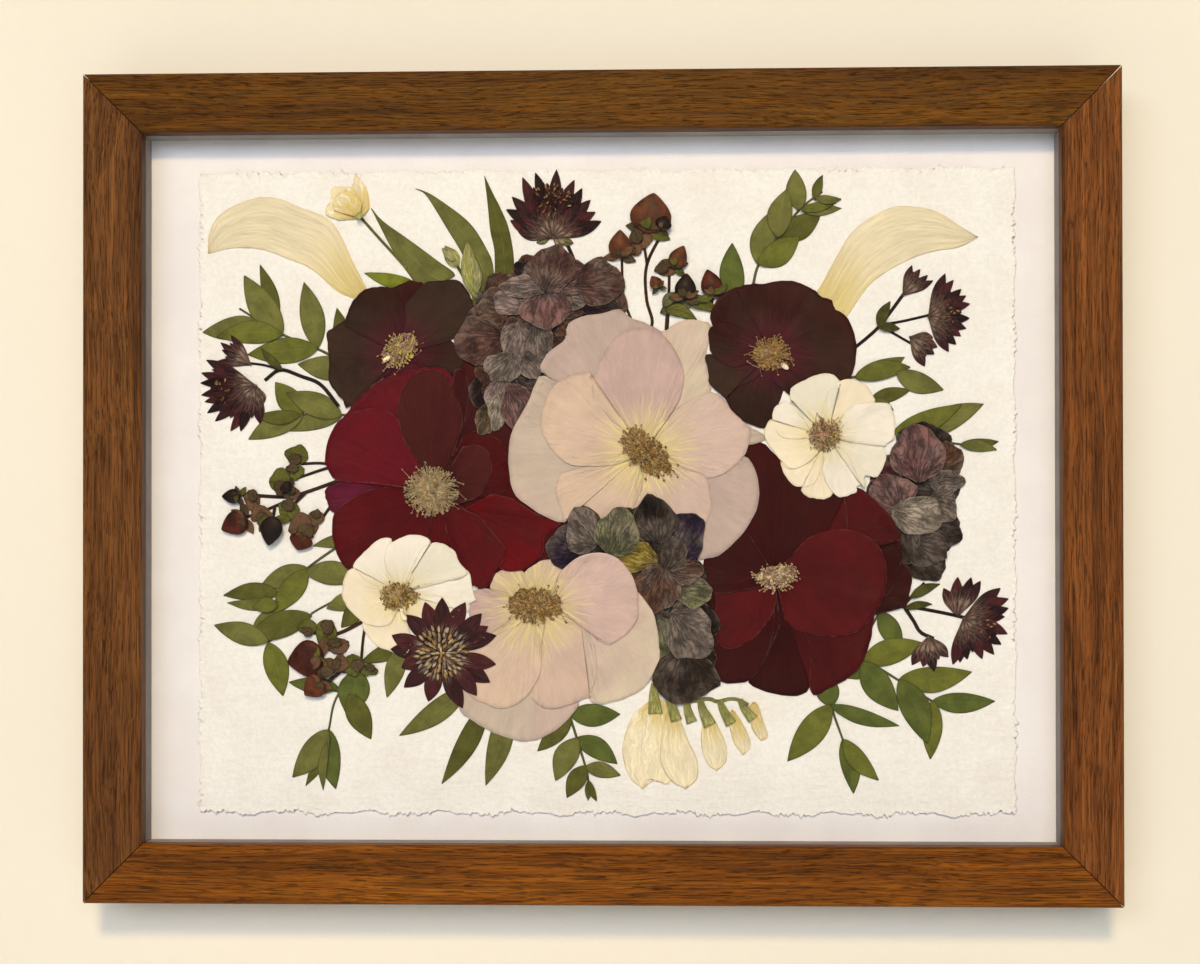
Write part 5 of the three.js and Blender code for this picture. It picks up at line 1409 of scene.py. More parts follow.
STAR_TIPS = traced(
    "-60,-41.5 -51.2,-43.3 -45,-47.6 -42.6,-52.4 -39.4,-55.8 -39.6,-66.8 -41.8,-73.6 -46.8,-78.6 "
    "-52.3,-83.4 -65.4,-81 -74.6,-75.6 -75.6,-68 -79.6,-61 -79.2,-55.8 -73.6,-48 -66.6,-43.2")
MASTERWORTS = (
    Masterwort("astrantia_star",
        (BractFan((-60.5, -62.5), STAR_TIPS, 6.6, 4.5, (Tone.PLUM, Tone.PLUM_RED)),),
        disc=9.0,
        pins=(Tone.ANTHER_STRAW, Tone.ANTHER_STRAW, Tone.TAUPE_LIGHT, Tone.ANTHER_TAN)),
    Masterwort("astrantia_top",
        (BractFan((-18, 95), traced(
                    "-31,97.8 -34,102 -35.4,106.2 -33.3,111 -29.3,118.3 -24.3,120 -16.3,121.3 -9.6,117.2 "
                    "-6.6,114 -3.4,109.6 -1.6,105 0.6,101.4"),
                5, rings=4),
            BractFan((-18, 96), traced("-24,93.4 -14,91.6 -10,93"), 3.4, 0.1, (Tone.OLIVE_PALE, Tone.STALK))),
        ((1.4, traced("-14,96 -11.5,91 -8,82.5")),), cushions=(((-18.5, 109.5), 8, 6, 110),)),
    Masterwort("astrantia_left",
        (BractFan((-131, 39.5), traced(
                    "-150.4,49.4 -152.4,44.4 -152.6,40.6 -152.4,36 -151,33.4 -150,29.2 -147,26 -141,22.2 "
                    "-137.2,22.2 -129.8,25 -129,32"),
                4.4, 1, rings=4),
            BractFan((-133, 47.4), traced("-140.7,58.7 -144.8,56 -144.4,53.2 -146,49"), 3.2, 1.1, rings=2)),
        ((1.4, traced("-128,41.5 -122,45.5 -114,43 -106.5,39.8 -99.5,31.4")),
            (0.9, traced("-134.5,48.2 -128,47.3 -122,45.5"))),
        (((-121, 45.6), (-129.3, 53.8), 3.2),), (((-144, 37), 3, 6, 36),)),
    Masterwort("astrantia_right_upper",
        (BractFan((124, 64.6), traced(
                    "130.6,80.8 133.6,78.3 136.6,74.8 138.4,72.4 139.8,69.4 139.6,63.8 138.4,60 136.4,57.2 "
                    "134.6,54 131.8,51.2"),
                4.2, rings=4),
            BractFan((114.4, 72.4), traced("118,84 121.2,82.4 124,80.2 126,78.2"), 3.2, 0.05, rings=2),
            BractFan((117, 57), traced("126,56.6 127.6,53 126.4,50.4 122.8,45.8"), 4.2, 0.05, rings=2)),
        ((1.3, traced("94,51 101,56.6 106.6,62 115.4,73.8")), (1, traced("105.6,61.4 115,63 124.6,65.2")),
            (1, ((106.6, 61), (117.5, 54.6)))),
        (((105.4, 60.4), (109.8, 70.4), 4.4), ((105.4, 60.4), (113.4, 60), 3.6)),
        (((132.5, 66), 3, 5, 24),)),
    Masterwort("astrantia_right_lower",
        (BractFan((137, -49), traced(
                    "151,-38 154,-42 154,-45.6 152.6,-48.8 153.6,-55.2 151.2,-59.2 148.6,-63 144.2,-64.6 "
                    "138.4,-64.8 135.8,-66 133.2,-66.8"),
                4.6, 1, rings=4),
            BractFan((135, -49), traced("129.8,-38 135,-33.8 140,-34 143.6,-35.4"), 4.4, 1.1, rings=2),
            BractFan((124, -56), traced("117.8,-67 122,-67.6 126,-69.2 131.4,-64"), 4.4, 1.05, rings=2)),
        ((1.3, traced("104,-45.4 115.5,-45 128,-47 138,-49.2")),
            (1.2, traced("115,-44 119.4,-39.4 122.6,-36")),
            (1.4, traced("115,-45.2 118.6,-50.6 121,-54.6 126,-57"))),
        (((115, -45.6), (125.4, -44), 3), ((117, -41.6), (128.4, -36.4), 4)),
        (((146, -52), 3, 6, 24),)),
)


class Pod(Enum):
    """What a lump on a pod stem is: a ripe pod, a papery calyx or a small leaf."""

    RED = Tone.POD_RED
    DARK = Tone.POD_DARK
    BROWN = Tone.POD_BROWN
    PAPER = Tone.CALYX
    GREEN = Tone.CALYX_GREEN


def pods(text: str) -> tuple[tuple[Pod, float, float, float, float, float], ...]:
    """Pods from text, as their kind, x, z, width, height and the way to the stalk."""
    return tuple((Pod[kind], *numbers) for kind, (numbers,) in table(text))


@dataclass(frozen=True)
class PodStem:
    """A stem of dried pods: its stems, and its pods as kind, x, z, width, height and the way to the stalk."""

    name: str
    level: float
    stems: tuple[tuple[float, tuple[Point, ...]], ...]
    pods: tuple[tuple[Pod, float, float, float, float, float], ...]
    leaves: tuple[tuple[Point, Point, float], ...] = ()

    def grow(self, finish: LeafFinish, small: SpeckFinish) -> Specimen:
        """Makes the stem's plates and its pods."""
        sprig = Specimen(self.name, "dried_pod", finish, small)
        for width, points in self.stems:
            sprig.add(ribbon(points, width), Tone.STALK_RED, self.level - 0.05, bulge=0.35, curl=0, ripple=0)
        for k, (base, tip, width) in enumerate(self.leaves):
            tone = Tone.CALYX_GREEN if k % 2 else Tone.STALK
            sprig.add(leaf(base, tip, width, 0.1, full=0.7, out=16), tone, self.level, curl=0.8, ripple=0.35)
        for k, (kind, x, z, width, height, toward) in enumerate(self.pods):
            if kind in (Pod.PAPER, Pod.GREEN):
                self.papery(sprig, kind.value, x, z, width, height, toward, k)
            else:
                self.ripe(sprig, kind.value, x, z, width, height, toward, k)
        return sprig

    def papery(self, sprig: Specimen, tone: Tone, x: float, z: float, width: float, height: float, toward: float,
               k: int) -> None:
        """Adds a papery calyx as two rounded lobes, one over the other."""
        angle = math.radians(toward)
        hub = x + width * 0.6 * math.cos(angle), z + height * 0.6 * math.sin(angle)
        for n, (share, shift) in enumerate(((1.0, 0.0), (0.6, 0.24 if k % 2 else -0.24))):
            cx, cz = x - shift * width * math.sin(angle), z + shift * height * math.cos(angle)
            rx, rz = width / 2 * share, height / 2 * share
            base, edge = round_petal(cx - rx, cx + rx, cz - rz, cz + rz, hub, k * 2.1 + n)
            sprig.add(fan(base, edge, 16, 8, wander=0.5, seed=k + n), (tone, Tone.BRONZE)[n], self.level + 0.05 * n,
                      curl=0.4, ripple=0.2)

    def ripe(self, sprig: Specimen, tone: Tone, x: float, z: float, width: float, height: float, toward: float,
             k: int) -> None:
        """Adds a pod that tapers to its tip, cupped by the sepals at its stalk."""
        angle = math.radians(toward)
        reach = 1 / math.hypot(math.cos(angle) / (width / 2), math.sin(angle) / (height / 2))
        base = x + reach * 0.8 * math.cos(angle), z + reach * 0.8 * math.sin(angle)
        for n, swing in enumerate((-115, -60, -15, 40, 95)):
            way = angle + math.pi + math.radians(swing + 9 * math.sin(k + n))
            far = reach * (1.15 if abs(swing) > 50 else 0.9)
            tip = base[0] + far * math.cos(way), base[1] + far * math.sin(way)
            shade = (Tone.CALYX, Tone.CALYX_GREEN, Tone.BRONZE)[(k + n) % 3]
            over = 0.16 if n in (1, 3) else 0.02
            sprig.add(leaf(base, tip, reach * 0.62, out=8, across=6, full=0.9), shade, self.level + over, curl=0.6,
                      ripple=0.12)
        length, wide = 2 * reach, 2 / math.hypot(math.sin(angle) / (width / 2), math.cos(angle) / (height / 2))
        sprig.beads.append(Bead(x, z, length, wide, toward + 180, tone, self.level + 0.1, depth=min(2.3 / wide, 0.5),
                                detail=3, taper=0.62))


POD_STEMS = (
    PodStem("hypericum_top", 0,
        ((1.0, traced("16,56 11.6,65 9,74 8.4,90")), (1.2, traced("16,56 20,62.5 17.8,72 18,85 25,99")),
            (1.0, ((18, 85), (16.4, 96)))),
        pods("""
        PAPER 16,95.4,8.5,9.5,-90 BROWN 19.6,104.2,15.5,15.5,-98 BROWN 7.8,92.4,8.6,11,-90
        DARK 24.4,100.2,6.4,5.6,-110 PAPER 13.4,90.6,5.5,5,-60
        """)),
    PodStem("hypericum_top_right", 0,
        ((1.6, ((25.4, 60), (26.2, 72))), (1.1, ((26.2, 70), (26.5, 82))), (1.3, ((33, 66), (33, 73))),
            (1.3, ((42.4, 68), (42.6, 74)))),
        pods("""
        PAPER 25.6,83.4,9,6,-80 BROWN 30,87.4,6.4,11,-115 DARK 32.6,76,8,10.4,-95 RED 42.2,77.4,7.8,11.4,-75
        BROWN 21.2,77.8,4.6,6.2,-60
        """),
        (((23, 66.4), (43.5, 71.4), 6), ((25, 67.8), (37, 63.6), 5), ((24, 69), (31, 74), 4.4),
            ((34, 70), (46, 66), 4.6))),
    PodStem("hypericum_left", 1,
        ((1.1, traced("-101,8.6 -106,9.8 -114,9.6")), (1.1, traced("-101,8.8 -107,7 -117,3.6")),
            (1.4, traced("-99,3.4 -112,-1.2 -120,-3 -138,-2")), (1.2, traced("-112,-1.2 -118,-8 -113,-12")),
            (1.2, traced("-119,-4.4 -130,-9 -136,-11")), (1.2, ((-124, -6.8), (-125.4, -14))),
            (1.2, traced("-103,-7 -106.6,-11.6 -111,-13"))),
        pods("""
        GREEN -115.6,13,8.8,7.6,-20 GREEN -116.4,6.6,7.6,6,20 GREEN -122,3,7.6,10.6,0 PAPER -117.6,-1.6,7,5,0
        DARK -140.4,-2.8,7.4,5.6,0 PAPER -132.8,-4.2,6,8,-20 PAPER -129.6,-9.4,7.4,7,30 GREEN -118.6,-8,8,8,0
        RED -139.2,-13.2,12,8.8,25 DARK -124.8,-16,8.4,11.6,80 PAPER -127.8,-14.2,5.4,5.4,40
        RED -113.8,-20.2,9.6,6.6,70 PAPER -113,-14,11.4,9.6,20 PAPER -108,-11,6,6,0 DARK -119,0.6,5.4,4,20
        """)),
    PodStem("hypericum_lower_left", 1,
        ((1.4, traced("-90,-50.4 -101,-55.4 -111,-54.6")), (1.1, traced("-89.6,-53 -90.4,-58 -91,-66")),
            (1.3, traced("-99.6,-62 -98.6,-69.4 -91,-68 -86,-68.6")), (1.3, ((-98.6, -69.4), (-105.6, -75)))),
        pods("""
        RED -112,-64.8,14.4,14,10 GREEN -104.4,-54.6,8.4,9.4,-20 GREEN -111.4,-52.8,7,6.4,0
        PAPER -99.8,-59.8,8.6,6.4,30 PAPER -103.6,-67.8,9,6.8,0 BROWN -108.6,-75.4,11,8,40
        GREEN -94.2,-67,9,8,90 PAPER -98.6,-66.4,6,7,90 GREEN -87.8,-69,6.4,4.6,150
        """)),
)


@dataclass(frozen=True)
class TracedPiece:
    """A plate inside a traced outline: its base first, and the number of the point that is its tip."""

    tone: Tone
    outline: tuple[Point, ...]
    tip: int
    level: float = 0.0


LILIES = (
    ("lily_petal_left",
        TracedPiece(Tone.LILY, traced(
                "-91,72 -100,75.3 -110,84 -120,88.4 -130,91.9 -140,92.3 -149.6,90.2 -149.4,97 -145,105 "
                "-134,110.6 -124,111.3 -114,107.3 -104,103.3 -98.5,96 -94,86 -88,74"),
            6)),
    ("lily_petal_right",
        TracedPiece(Tone.LILY, traced(
                "84,66 80,70 84,77 89,86 95.5,96.5 105,103.5 114,106.5 127,104.5 136,99 143,94.6 136,91 "
                "124,88.8 115,85.3 104,78.5 98,71.5 91,62"),
            9)),
)
LANCES = (
    ("lance_top_left",
        TracedPiece(Tone.OLIVE,
            traced("-60,79 -68,77 -73,82 -79,91 -84,100.6 -87.2,107 -82,101.6 -70,93 -62,87 -55,81.5"),
            5)),
    ("lance_top_middle",
        TracedPiece(Tone.OLIVE, traced(
                "-42,73 -45,74 -48,80 -53,90.6 -57.5,98 -65.8,111.4 -70.2,114.3 -66.6,113.2 -62,110.8 "
                "-52.6,104 -47.4,98.6 -42.6,90.4 -40.6,85 -40,74"),
            6)),
    ("lance_top_right",
        TracedPiece(Tone.OLIVE_DARK, traced(
                "-36,74 -39.4,75 -40,90 -41.6,98 -42.4,106 -43.7,119 -40.6,112.4 -37.2,105.6 -34.6,99 "
                "-32.7,88 -32.8,76"),
            5)),
)
BLADES = (
    ("lance_top_small", "fresh_leaf", Tone.SPRING, ((-69, 77.4), (-89.6, 82.3), 5.6, 0)),
    ("lance_bottom_left", "leaf", Tone.OLIVE, ((-50, -75), (-76.4, -94), 8.6, 0)),
    ("lance_bottom_middle", "leaf", Tone.OLIVE_DARK, ((-43, -80.6), (-60.2, -112.2), 8, 0)),
    ("lance_bottom_right", "leaf", Tone.OLIVE, ((-35, -82), (-43.5, -112.8), 9, 0)),
)
FREESIA_PETALS = (
    TracedPiece(Tone.CREAM, traced(
            "22,-79 17,-82 12,-87 8.6,-97 9,-104 12,-110.4 16,-113.7 21,-110.4 24.4,-112 27,-110 30,-96 "
            "26,-84"),
        6),
    TracedPiece(Tone.CREAM,
        traced("27,-82 25,-86 23,-97 23,-104 27.4,-111 32.4,-113.8 36.6,-110 36.6,-103 33.4,-95.6 29.6,-86"),
        5, 0.1),
    TracedPiece(Tone.CREAM,
        traced("40.6,-84 39,-87 38.2,-97 40.4,-104 44,-107 47.6,-103.6 47.6,-97 43,-87"),
        4),
    TracedPiece(Tone.CREAM, traced("50,-84 48.6,-87 50.4,-96 54,-101 57,-98 55.4,-92 52,-86"), 3),
    TracedPiece(Tone.CREAM, traced("58,-81 56,-84 58,-92 61,-95.7 63.4,-93.6 61.6,-88 59.6,-82"), 3),
)
FREESIA_TUBES = (
    (traced("20.6,-74 20.4,-79 21,-85.4"), 2.4, 5.6), (traced("25,-76.6 27,-82 28.9,-88"), 2.4, 4.4),
    (traced("32.8,-80.2 33.2,-84 34.8,-88.8"), 2.2, 4.2),
    (traced("37.8,-79.8 39,-84.4 41.6,-89.8"), 2.2, 5.0),
    (traced("45.2,-80.4 46.8,-84.4 49.6,-89.2"), 2.2, 4.4),
    (traced("53,-80 54.6,-83.4 57.8,-87.4"), 2.0, 4.0),
)


def grow_pale(lily: PetalFinish, cream: PetalFinish, green: PetalFinish, small: SpeckFinish) -> list[Specimen]:
    """The lily petals and the freesia buds and spray."""
    grown = []
    for name, piece in LILIES:
        petal = Specimen(name, "lily_petal", lily)
        petal.add(blade(piece.outline, piece.tip, 40, 60), piece.tone, 0, middle=piece.outline[0], curl=0.7,
                  ripple=0.34)
        grown.append(petal)
    upper = Specimen("freesia_bud_upper", "freesia_petal", cream, small)
    upper.add(ribbon([(-91, 103.4), (-85, 96.6), (-78.4, 89.4), (-73.4, 83.8)], 1.1), Tone.STALK, 1, bulge=0.3,
              curl=0, ripple=0, middle=AWAY)
    for base, edge in (((-91, 103), ((-99.6, 102.6), (-104.6, 105), (-102.6, 111), (-101.6, 115.2), (-95, 115))),
                       ((-91, 103), ((-97, 114), (-94.4, 115.4), (-93.2, 119.5), (-90.4, 117), (-88.4, 113),
                                     (-87.8, 107))),
                       ((-91, 103), ((-101, 106), (-101.6, 110), (-98, 113), (-93.6, 112.4), (-90.4, 109)))):
        upper.add(fan(base, edge, 24, 18), Tone.CREAM, 1.1, middle=base, curl=0.7, ripple=0.3)
    upper.beads.append(Bead(-91, 103.6, 3.2, 2.6, 40, Tone.BUD, 1.3, detail=2))
    spray = Specimen("freesia_spray", "freesia_petal", cream)
    for k, piece in enumerate(FREESIA_PETALS):
        spray.add(blade(piece.outline, piece.tip, 24, 34), piece.tone, piece.level + 0.01 * k,
                  middle=piece.outline[0], curl=0.8, ripple=0.4)
    stalks = Specimen("freesia_spray", "freesia_petal", green, tag="green_")
    stalk = traced("21,-73 27,-79 33,-80.9 41,-79.8 44.4,-80.9 49.4,-79.8 53,-80.4 56,-82")
    stalks.add(ribbon(stalk, 1.8, 1.3), Tone.BUD, 0.2, bulge=0.4, curl=0, ripple=0, middle=AWAY)
    for points, wide, end in FREESIA_TUBES:
        stalks.add(ribbon(points, wide, end, out=14), Tone.BUD, 0.3, bulge=0.3, curl=0.3, ripple=0.2,
                   middle=points[-1])
    return [*grown, upper, spray, stalks]


# ---- leaves ---------------------------------------------------------------------------------------------

LEAF_TONES = (Tone.OLIVE, Tone.OLIVE_DARK, Tone.OLIVE, Tone.OLIVE_PALE)


@dataclass(frozen=True)
class Sprig:
    """A leafy sprig: its stems, and its leaves as base, tip and width."""

    name: str
    stems: tuple[tuple[Point, ...], ...]
    leaves: tuple[tuple[float, float, float, float, float], ...]
    tones: tuple[Tone, ...] = LEAF_TONES

    def grow(self, finish: LeafFinish) -> Specimen:
        """Makes the sprig's plates."""
        sprig = Specimen(self.name, "leaf", finish)
        for points in self.stems:
            sprig.add(ribbon(points, 1.1, 0.8), Tone.STALK, 0, bulge=0.35, curl=0, ripple=0)
        for k, (x, z, tip_x, tip_z, width) in enumerate(self.leaves):
            bend = 0.05 * math.sin(k * 2.7 + len(self.name))
            sprig.add(leaf((x, z), (tip_x, tip_z), width, bend), self.tones[(k * 7) % len(self.tones)],
                      0.02 + 0.02 * (k % 3), curl=0.3)
        return sprig


FRESH = (Tone.FERN, Tone.OLIVE_PALE, Tone.FERN)
DEEP = (Tone.FERN, Tone.OLIVE_DARK, Tone.OLIVE)
SPRIGS = (
    Sprig("sprig_upper_left",
        (traced("-95,44 -103.5,51.4 -121.7,59.3 -137.7,69"), traced("-95,44 -94.6,30 -99,28.2 -115,28.4")),
        traced(
            "-107.6,53.6,-112.9,78.9,9.4 -107.4,53.6,-134.6,51.4,10 -121,59,-135.9,81.6,10.6 "
            "-124,61,-129.8,85.7,6.4 -131.6,64.6,-151.8,59.9,8.6 -121,59,-146.4,58.4,8.8 "
            "-94,46,-115.3,47.7,9.4 -96,44,-100.3,69,8.4 -98.2,28,-119.6,36.6,9.4 "
            "-113.4,28.4,-123.9,40.8,9.2 -113,28.2,-134.2,19,9 -114,28.2,-131.6,28,5.6 "
            "-98.4,27.8,-118.6,22.2,7")),
    Sprig("sprig_top_right", (traced("58,76 60.4,84.8 68,95.4 76,105.6 84.4,112.2"),), traced(
            "60,84.4,65.5,105.2,9.4 60,84.6,75.8,95.2,9.6 67.4,94.6,71.2,113.2,9.4 67.6,95,83.9,103.9,9.4 "
            "75.6,105,74.2,120.6,7.8 76,105,89.6,107.9,3.8 76.4,105,91.6,105.8,4.6 "
            "81.4,109,84.4,118.4,3.8 81.6,109.4,91.5,109.2,3.6")),
    Sprig("leaf_top", (), ((52, 71, 50.3, 92.9, 9.4),), DEEP),
    Sprig("sprig_right",
        (traced("88,40 97,42 113.4,43.4"), traced("88,40 103,33.4 111,20.6 137,16.2")),
        traced(
            "96.6,42,115.3,49.3,7.4 96.6,41.6,117.4,45.6,7.6 112,43.2,129.8,36.9,8.2 "
            "102,33,117.5,36.9,5.6 103,33,111,29.2,4.4 110.6,20.4,136.7,31.2,8.4 122,19.4,144.9,31.5,9 "
            "136,16.2,150.4,17.4,4.8 136,16,149.7,14.2,4.6")),
    Sprig("sprig_lower_left",
        (traced("-94,-18 -111.6,-30.2 -123,-41.6 -124,-46.4"), traced("-94,-18 -93,-36 -110.2,-47.6"),
            ((-110, -48), (-127, -58.6)), ((-93, -34), (-90.6, -43))),
        traced(
            "-111,-30.2,-130,-37.6,8.4 -111.4,-30.6,-124.4,-47.6,9 -112,-31.6,-90,-34,9.4 "
            "-122,-39.6,-143.8,-40.6,7 -122.8,-43,-142.3,-43.4,4.6 -122.6,-44,-132.6,-45.4,6 "
            "-123.4,-45.8,-133.4,-57,8 -110,-48,-135.6,-57.4,10 -126.4,-58,-147.4,-52,8.6 "
            "-126.6,-58.4,-121,-78.9,9.4 -91,-42,-104.2,-45.6,7 -91,-42,-98.6,-52.9,7 "
            "-92,-20,-109.4,-21.6,5")),
    Sprig("sprig_lower_left_twigs",
        (traced("-72,-58 -84,-63.4 -99.6,-78 -103.6,-92.2"), ((-99.8, -77), (-110, -75.4))),
        traced(
            "-91.6,-69,-96.4,-86.2,12 -95.4,-78,-87.3,-95.3,9.2 -103.6,-91.6,-117.3,-110,9.8 "
            "-103.4,-91.6,-100.9,-114.3,8.8 -104.6,-96,-112.3,-113.1,4.6 -104,-96,-105.6,-114.8,3.6 "
            "-99.6,-75.4,-118.6,-73.6,6.6 -72,-59,-91.2,-66,6.6 -74.6,-59.2,-81.1,-79.4,7.6"),
        DEEP),
    Sprig("sprig_bottom", (traced("-13,-82 -9,-94.4 -5,-108 -4.4,-114"),), traced(
            "-11.6,-85.6,7.6,-85.7,8.8 -11,-84.6,-23.8,-99.8,7.4 -8.4,-94.6,-16.9,-111,9 "
            "-9,-94.6,6.5,-104.4,8 -5,-105,-12.7,-117.3,7 -5.6,-105.4,7.6,-108.9,6 "
            "-4.4,-111,-4.6,-118.5,2.8 -4.6,-110.6,-1.4,-118.7,2.8"),
        DEEP),
    Sprig("sprig_lower_right_a", (traced("86,-72 87.4,-82.4 92,-96"),), traced(
            "87.4,-82.6,84.6,-70,8.8 87.5,-81.8,70.9,-103.4,10.4 86.8,-82,112.9,-89.9,6 "
            "91.8,-94.8,95.8,-115.5,7.6 91.8,-95,105.1,-110.5,7.2"),
        FRESH),
    Sprig("sprig_lower_right_b",
        (traced("96,-64 106,-68.6 120,-77.4 131.6,-84.3"), traced("96,-64 104,-50 106,-46.6")),
        traced(
            "105.6,-46.6,114,-62,8 99,-65.4,122.1,-58.7,9.8 99,-65.4,112.6,-84.2,10.8 101,-66.4,93.6,-72,6 "
            "112.8,-72.4,140.2,-69.7,9.8 113,-72.2,123.6,-96.6,11 125.2,-80.6,148.9,-80.6,7.8 "
            "125.4,-80.2,124.6,-102.5,8"),
        FRESH),
)


# ---- frame, boards, paper and glass ------------------------------------------------------------------


class Run(Enum):
    """The way that a rail's grain runs."""

    ALONG_X = 0
    ALONG_Z = 1


@functools.cache
def walnut_grain() -> bpy.types.NodeTree:
    """Walnut: bands, a flowing figure, fine fibres and dark open pores, along the first axis."""
    g, given, out = new_group("walnut_grain", {"Place": VECTOR}, {"Band": FLOAT, "Fibre": FLOAT, "Pore": FLOAT})
    place = given["Place"]
    bow = g.math("MULTIPLY", g.math("SUBTRACT", g.noise(g.stretch(place, (7, 30, 30)), 1.0, 2.0), 0.5), 0.012)
    x, y, z = g.split(place)
    flow = g.join(x, g.math("ADD", y, bow), g.math("ADD", z, bow))
    g.feed(out["Band"], g.noise(g.stretch(flow, (5, 150, 150)), 1.0, 5.0, 0.62, 0.7))
    g.feed(out["Fibre"], g.noise(g.stretch(flow, (26, 1300, 1300)), 1.0, 4.0, 0.75))
    pores = g.noise(g.stretch(flow, (110, 2600, 2600)), 1.0, 2.0, 0.55)
    g.feed(out["Pore"], g.span(pores, 0.57, 0.66))
    return g.tree


@dataclass(frozen=True)
class WalnutFinish:
    """Oiled walnut, with the grain along one rail."""

    name: str
    run: Run
    shift: float = 0.0
    light: str = "#805026"
    mid: str = "#663c19"
    dark: str = "#432611"
    pore: str = "#2a1507"
    roughness: float = 0.55
    relief: float = 0.00018
    specular: float = 0.22

    def material(self) -> bpy.types.Material:
        """Builds the finish's material."""
        material, g, shader = new_material(self.name)
        x, y, z = g.split(g.place())
        long, wide = (x, z) if self.run is Run.ALONG_X else (z, x)
        place = g.join(g.math("ADD", long, self.shift), g.math("ADD", wide, self.shift * 0.37), y)
        grain = g.group(walnut_grain(), {"Place": place})
        ramp = g.add("ShaderNodeValToRGB", {"Fac": g.span(grain.outputs["Band"], 0.28, 0.74, smooth=False)})
        stops = ramp.color_ramp.elements
        stops[0].color, stops[1].color = tint_of(self.dark), tint_of(self.light)
        stops.new(0.42).color = tint_of(self.mid)
        fibre = g.span(grain.outputs["Fibre"], 0.32, 0.68, 0.5, 1.5)
        color = g.shaded(ramp.outputs[0], fibre)
        color = g.mix(g.math("MULTIPLY", grain.outputs["Pore"], 0.6), color, tint_of(self.pore))
        height = g.math("SUBTRACT", g.math("MULTIPLY", grain.outputs["Fibre"], 0.5), grain.outputs["Pore"])
        rough = g.swing(grain.outputs["Fibre"], self.roughness - 0.06, self.roughness + 0.1)
        g.skin(shader, color, g.bump(height, self.relief), rough, self.specular)
        return material


@dataclass(frozen=True)
class BoardFinish:
    """Paper, board or card: a soft uneven colour, fibres and a surface grain."""

    name: str
    light: str
    dark: str
    patch: float = 60.0
    grain: float = 1500.0
    relief: float = 0.00006
    roughness: float = 0.9
    fleck: str = "#c8b08a"
    fleck_amount: float = 0.0
    laid: float = 0.0                 # soft unevenness that runs along x
    specular: float = 0.2

    def material(self) -> bpy.types.Material:
        """Builds the finish's material."""
        material, g, shader = new_material(self.name)
        place = g.place()
        cloud = g.noise(place, self.patch, 4.0, 0.6)
        fine = g.noise(place, self.grain, 4.0, 0.6)
        color = g.mix(g.swing(cloud), tint_of(self.dark), tint_of(self.light))
        shade = g.swing(fine, 0.95, 1.03)
        color = g.shaded(color, shade)
        if self.fleck_amount:
            fibre = g.noise(g.stretch(place, (900, 900, 120)), 1.0, 2.0)
            color = g.mix(g.span(fibre, 0.66, 0.72, 0.0, self.fleck_amount), color, tint_of(self.fleck))
        pulp = g.math("MULTIPLY_ADD", g.noise(place, self.grain * 0.25, 3.0), 1.5, fine)
        if self.laid:
            pulp = g.math("MULTIPLY_ADD", g.noise(g.stretch(place, (90, 200, 330)), 1.0, 4.0, 0.6), self.laid, pulp)
        rough = g.swing(fine, self.roughness - 0.05, self.roughness + 0.05)
        g.skin(shader, color, g.bump(pulp, self.relief), rough, self.specular)
        return material


@dataclass(frozen=True)
class GlassFinish:
    """Clean picture glass with the faintest green."""

    name: str = "picture_glass"

    def material(self) -> bpy.types.Material:
        """Builds the finish's material."""
        material, g, shader = new_material(self.name)
        haze = g.noise(g.place(), 14.0, 3.0)
        g.feed(shader.inputs["Base Color"], g.mix(haze, (0.985, 0.995, 0.99, 1), (0.995, 1.0, 0.998, 1)))
        g.feed(shader.inputs["Roughness"], g.swing(haze, 0.0, 0.012))
        shader.inputs["Transmission Weight"].default_value = 1.0
        shader.inputs["IOR"].default_value = 1.45
        return material


@dataclass(frozen=True)
class SteelFinish:
    """Zinc-plated steel with fine rolling lines."""

    name: str = "plated_steel"

    def material(self) -> bpy.types.Material:
        """Builds the finish's material."""
        material, g, shader = new_material(self.name)
        place = g.place()
        lines = g.noise(g.stretch(place, (60, 900, 2600)), 1.0, 4.0)
        cloud = g.noise(place, 220.0, 3.0)
        g.feed(shader.inputs["Base Color"], g.mix(cloud, tint_of("#b9b9b6"), tint_of("#8e8e8c")))
        g.feed(shader.inputs["Roughness"], g.swing(lines, 0.3, 0.5))
        g.feed(shader.inputs["Normal"], g.bump(lines, 0.00002))
        shader.inputs["Metallic"].default_value = 0.95
        return material


RAIL_FINISHES = {
    "rail_top": WalnutFinish("walnut_top", Run.ALONG_X, 0.0, light="#6f460d", mid="#583206", dark="#381f04"),
    "rail_bottom": WalnutFinish("walnut_bottom", Run.ALONG_X, 1.7, light="#8e510e", mid="#6e3b08", dark="#482604"),
    "rail_left": WalnutFinish("walnut_left", Run.ALONG_Z, 3.1, light="#774b24", mid="#5f3818", dark="#3e2310"),
    "rail_right": WalnutFinish("walnut_right", Run.ALONG_Z, 4.6, light="#8b5224", mid="#6f3e18", dark="#492710"),
}
MAT_BOARD = BoardFinish("mat_board_face", "#f7f1eb", "#f1e9e4", 30, 1700, 0.00003)
DECKLE = BoardFinish("rag_paper", "#fbf6ec", "#f6efe3", 45, 900, 0.00016, laid=5.0)
# the spacers' grey is painted shade: it stands in for the shadow on the inner faces of white spacer card
SPACER_PAINTED_SHADE = BoardFinish("spacer_card_painted_shade", "#a39d98", "#958f8a", 60, 1500, 0.00004)
KRAFT = BoardFinish("kraft_card", "#b3946a", "#97774e", 50, 1600, 0.00005, 0.85, "#6f5230", 0.5)
SIDES = ("top", "bottom", "left", "right")
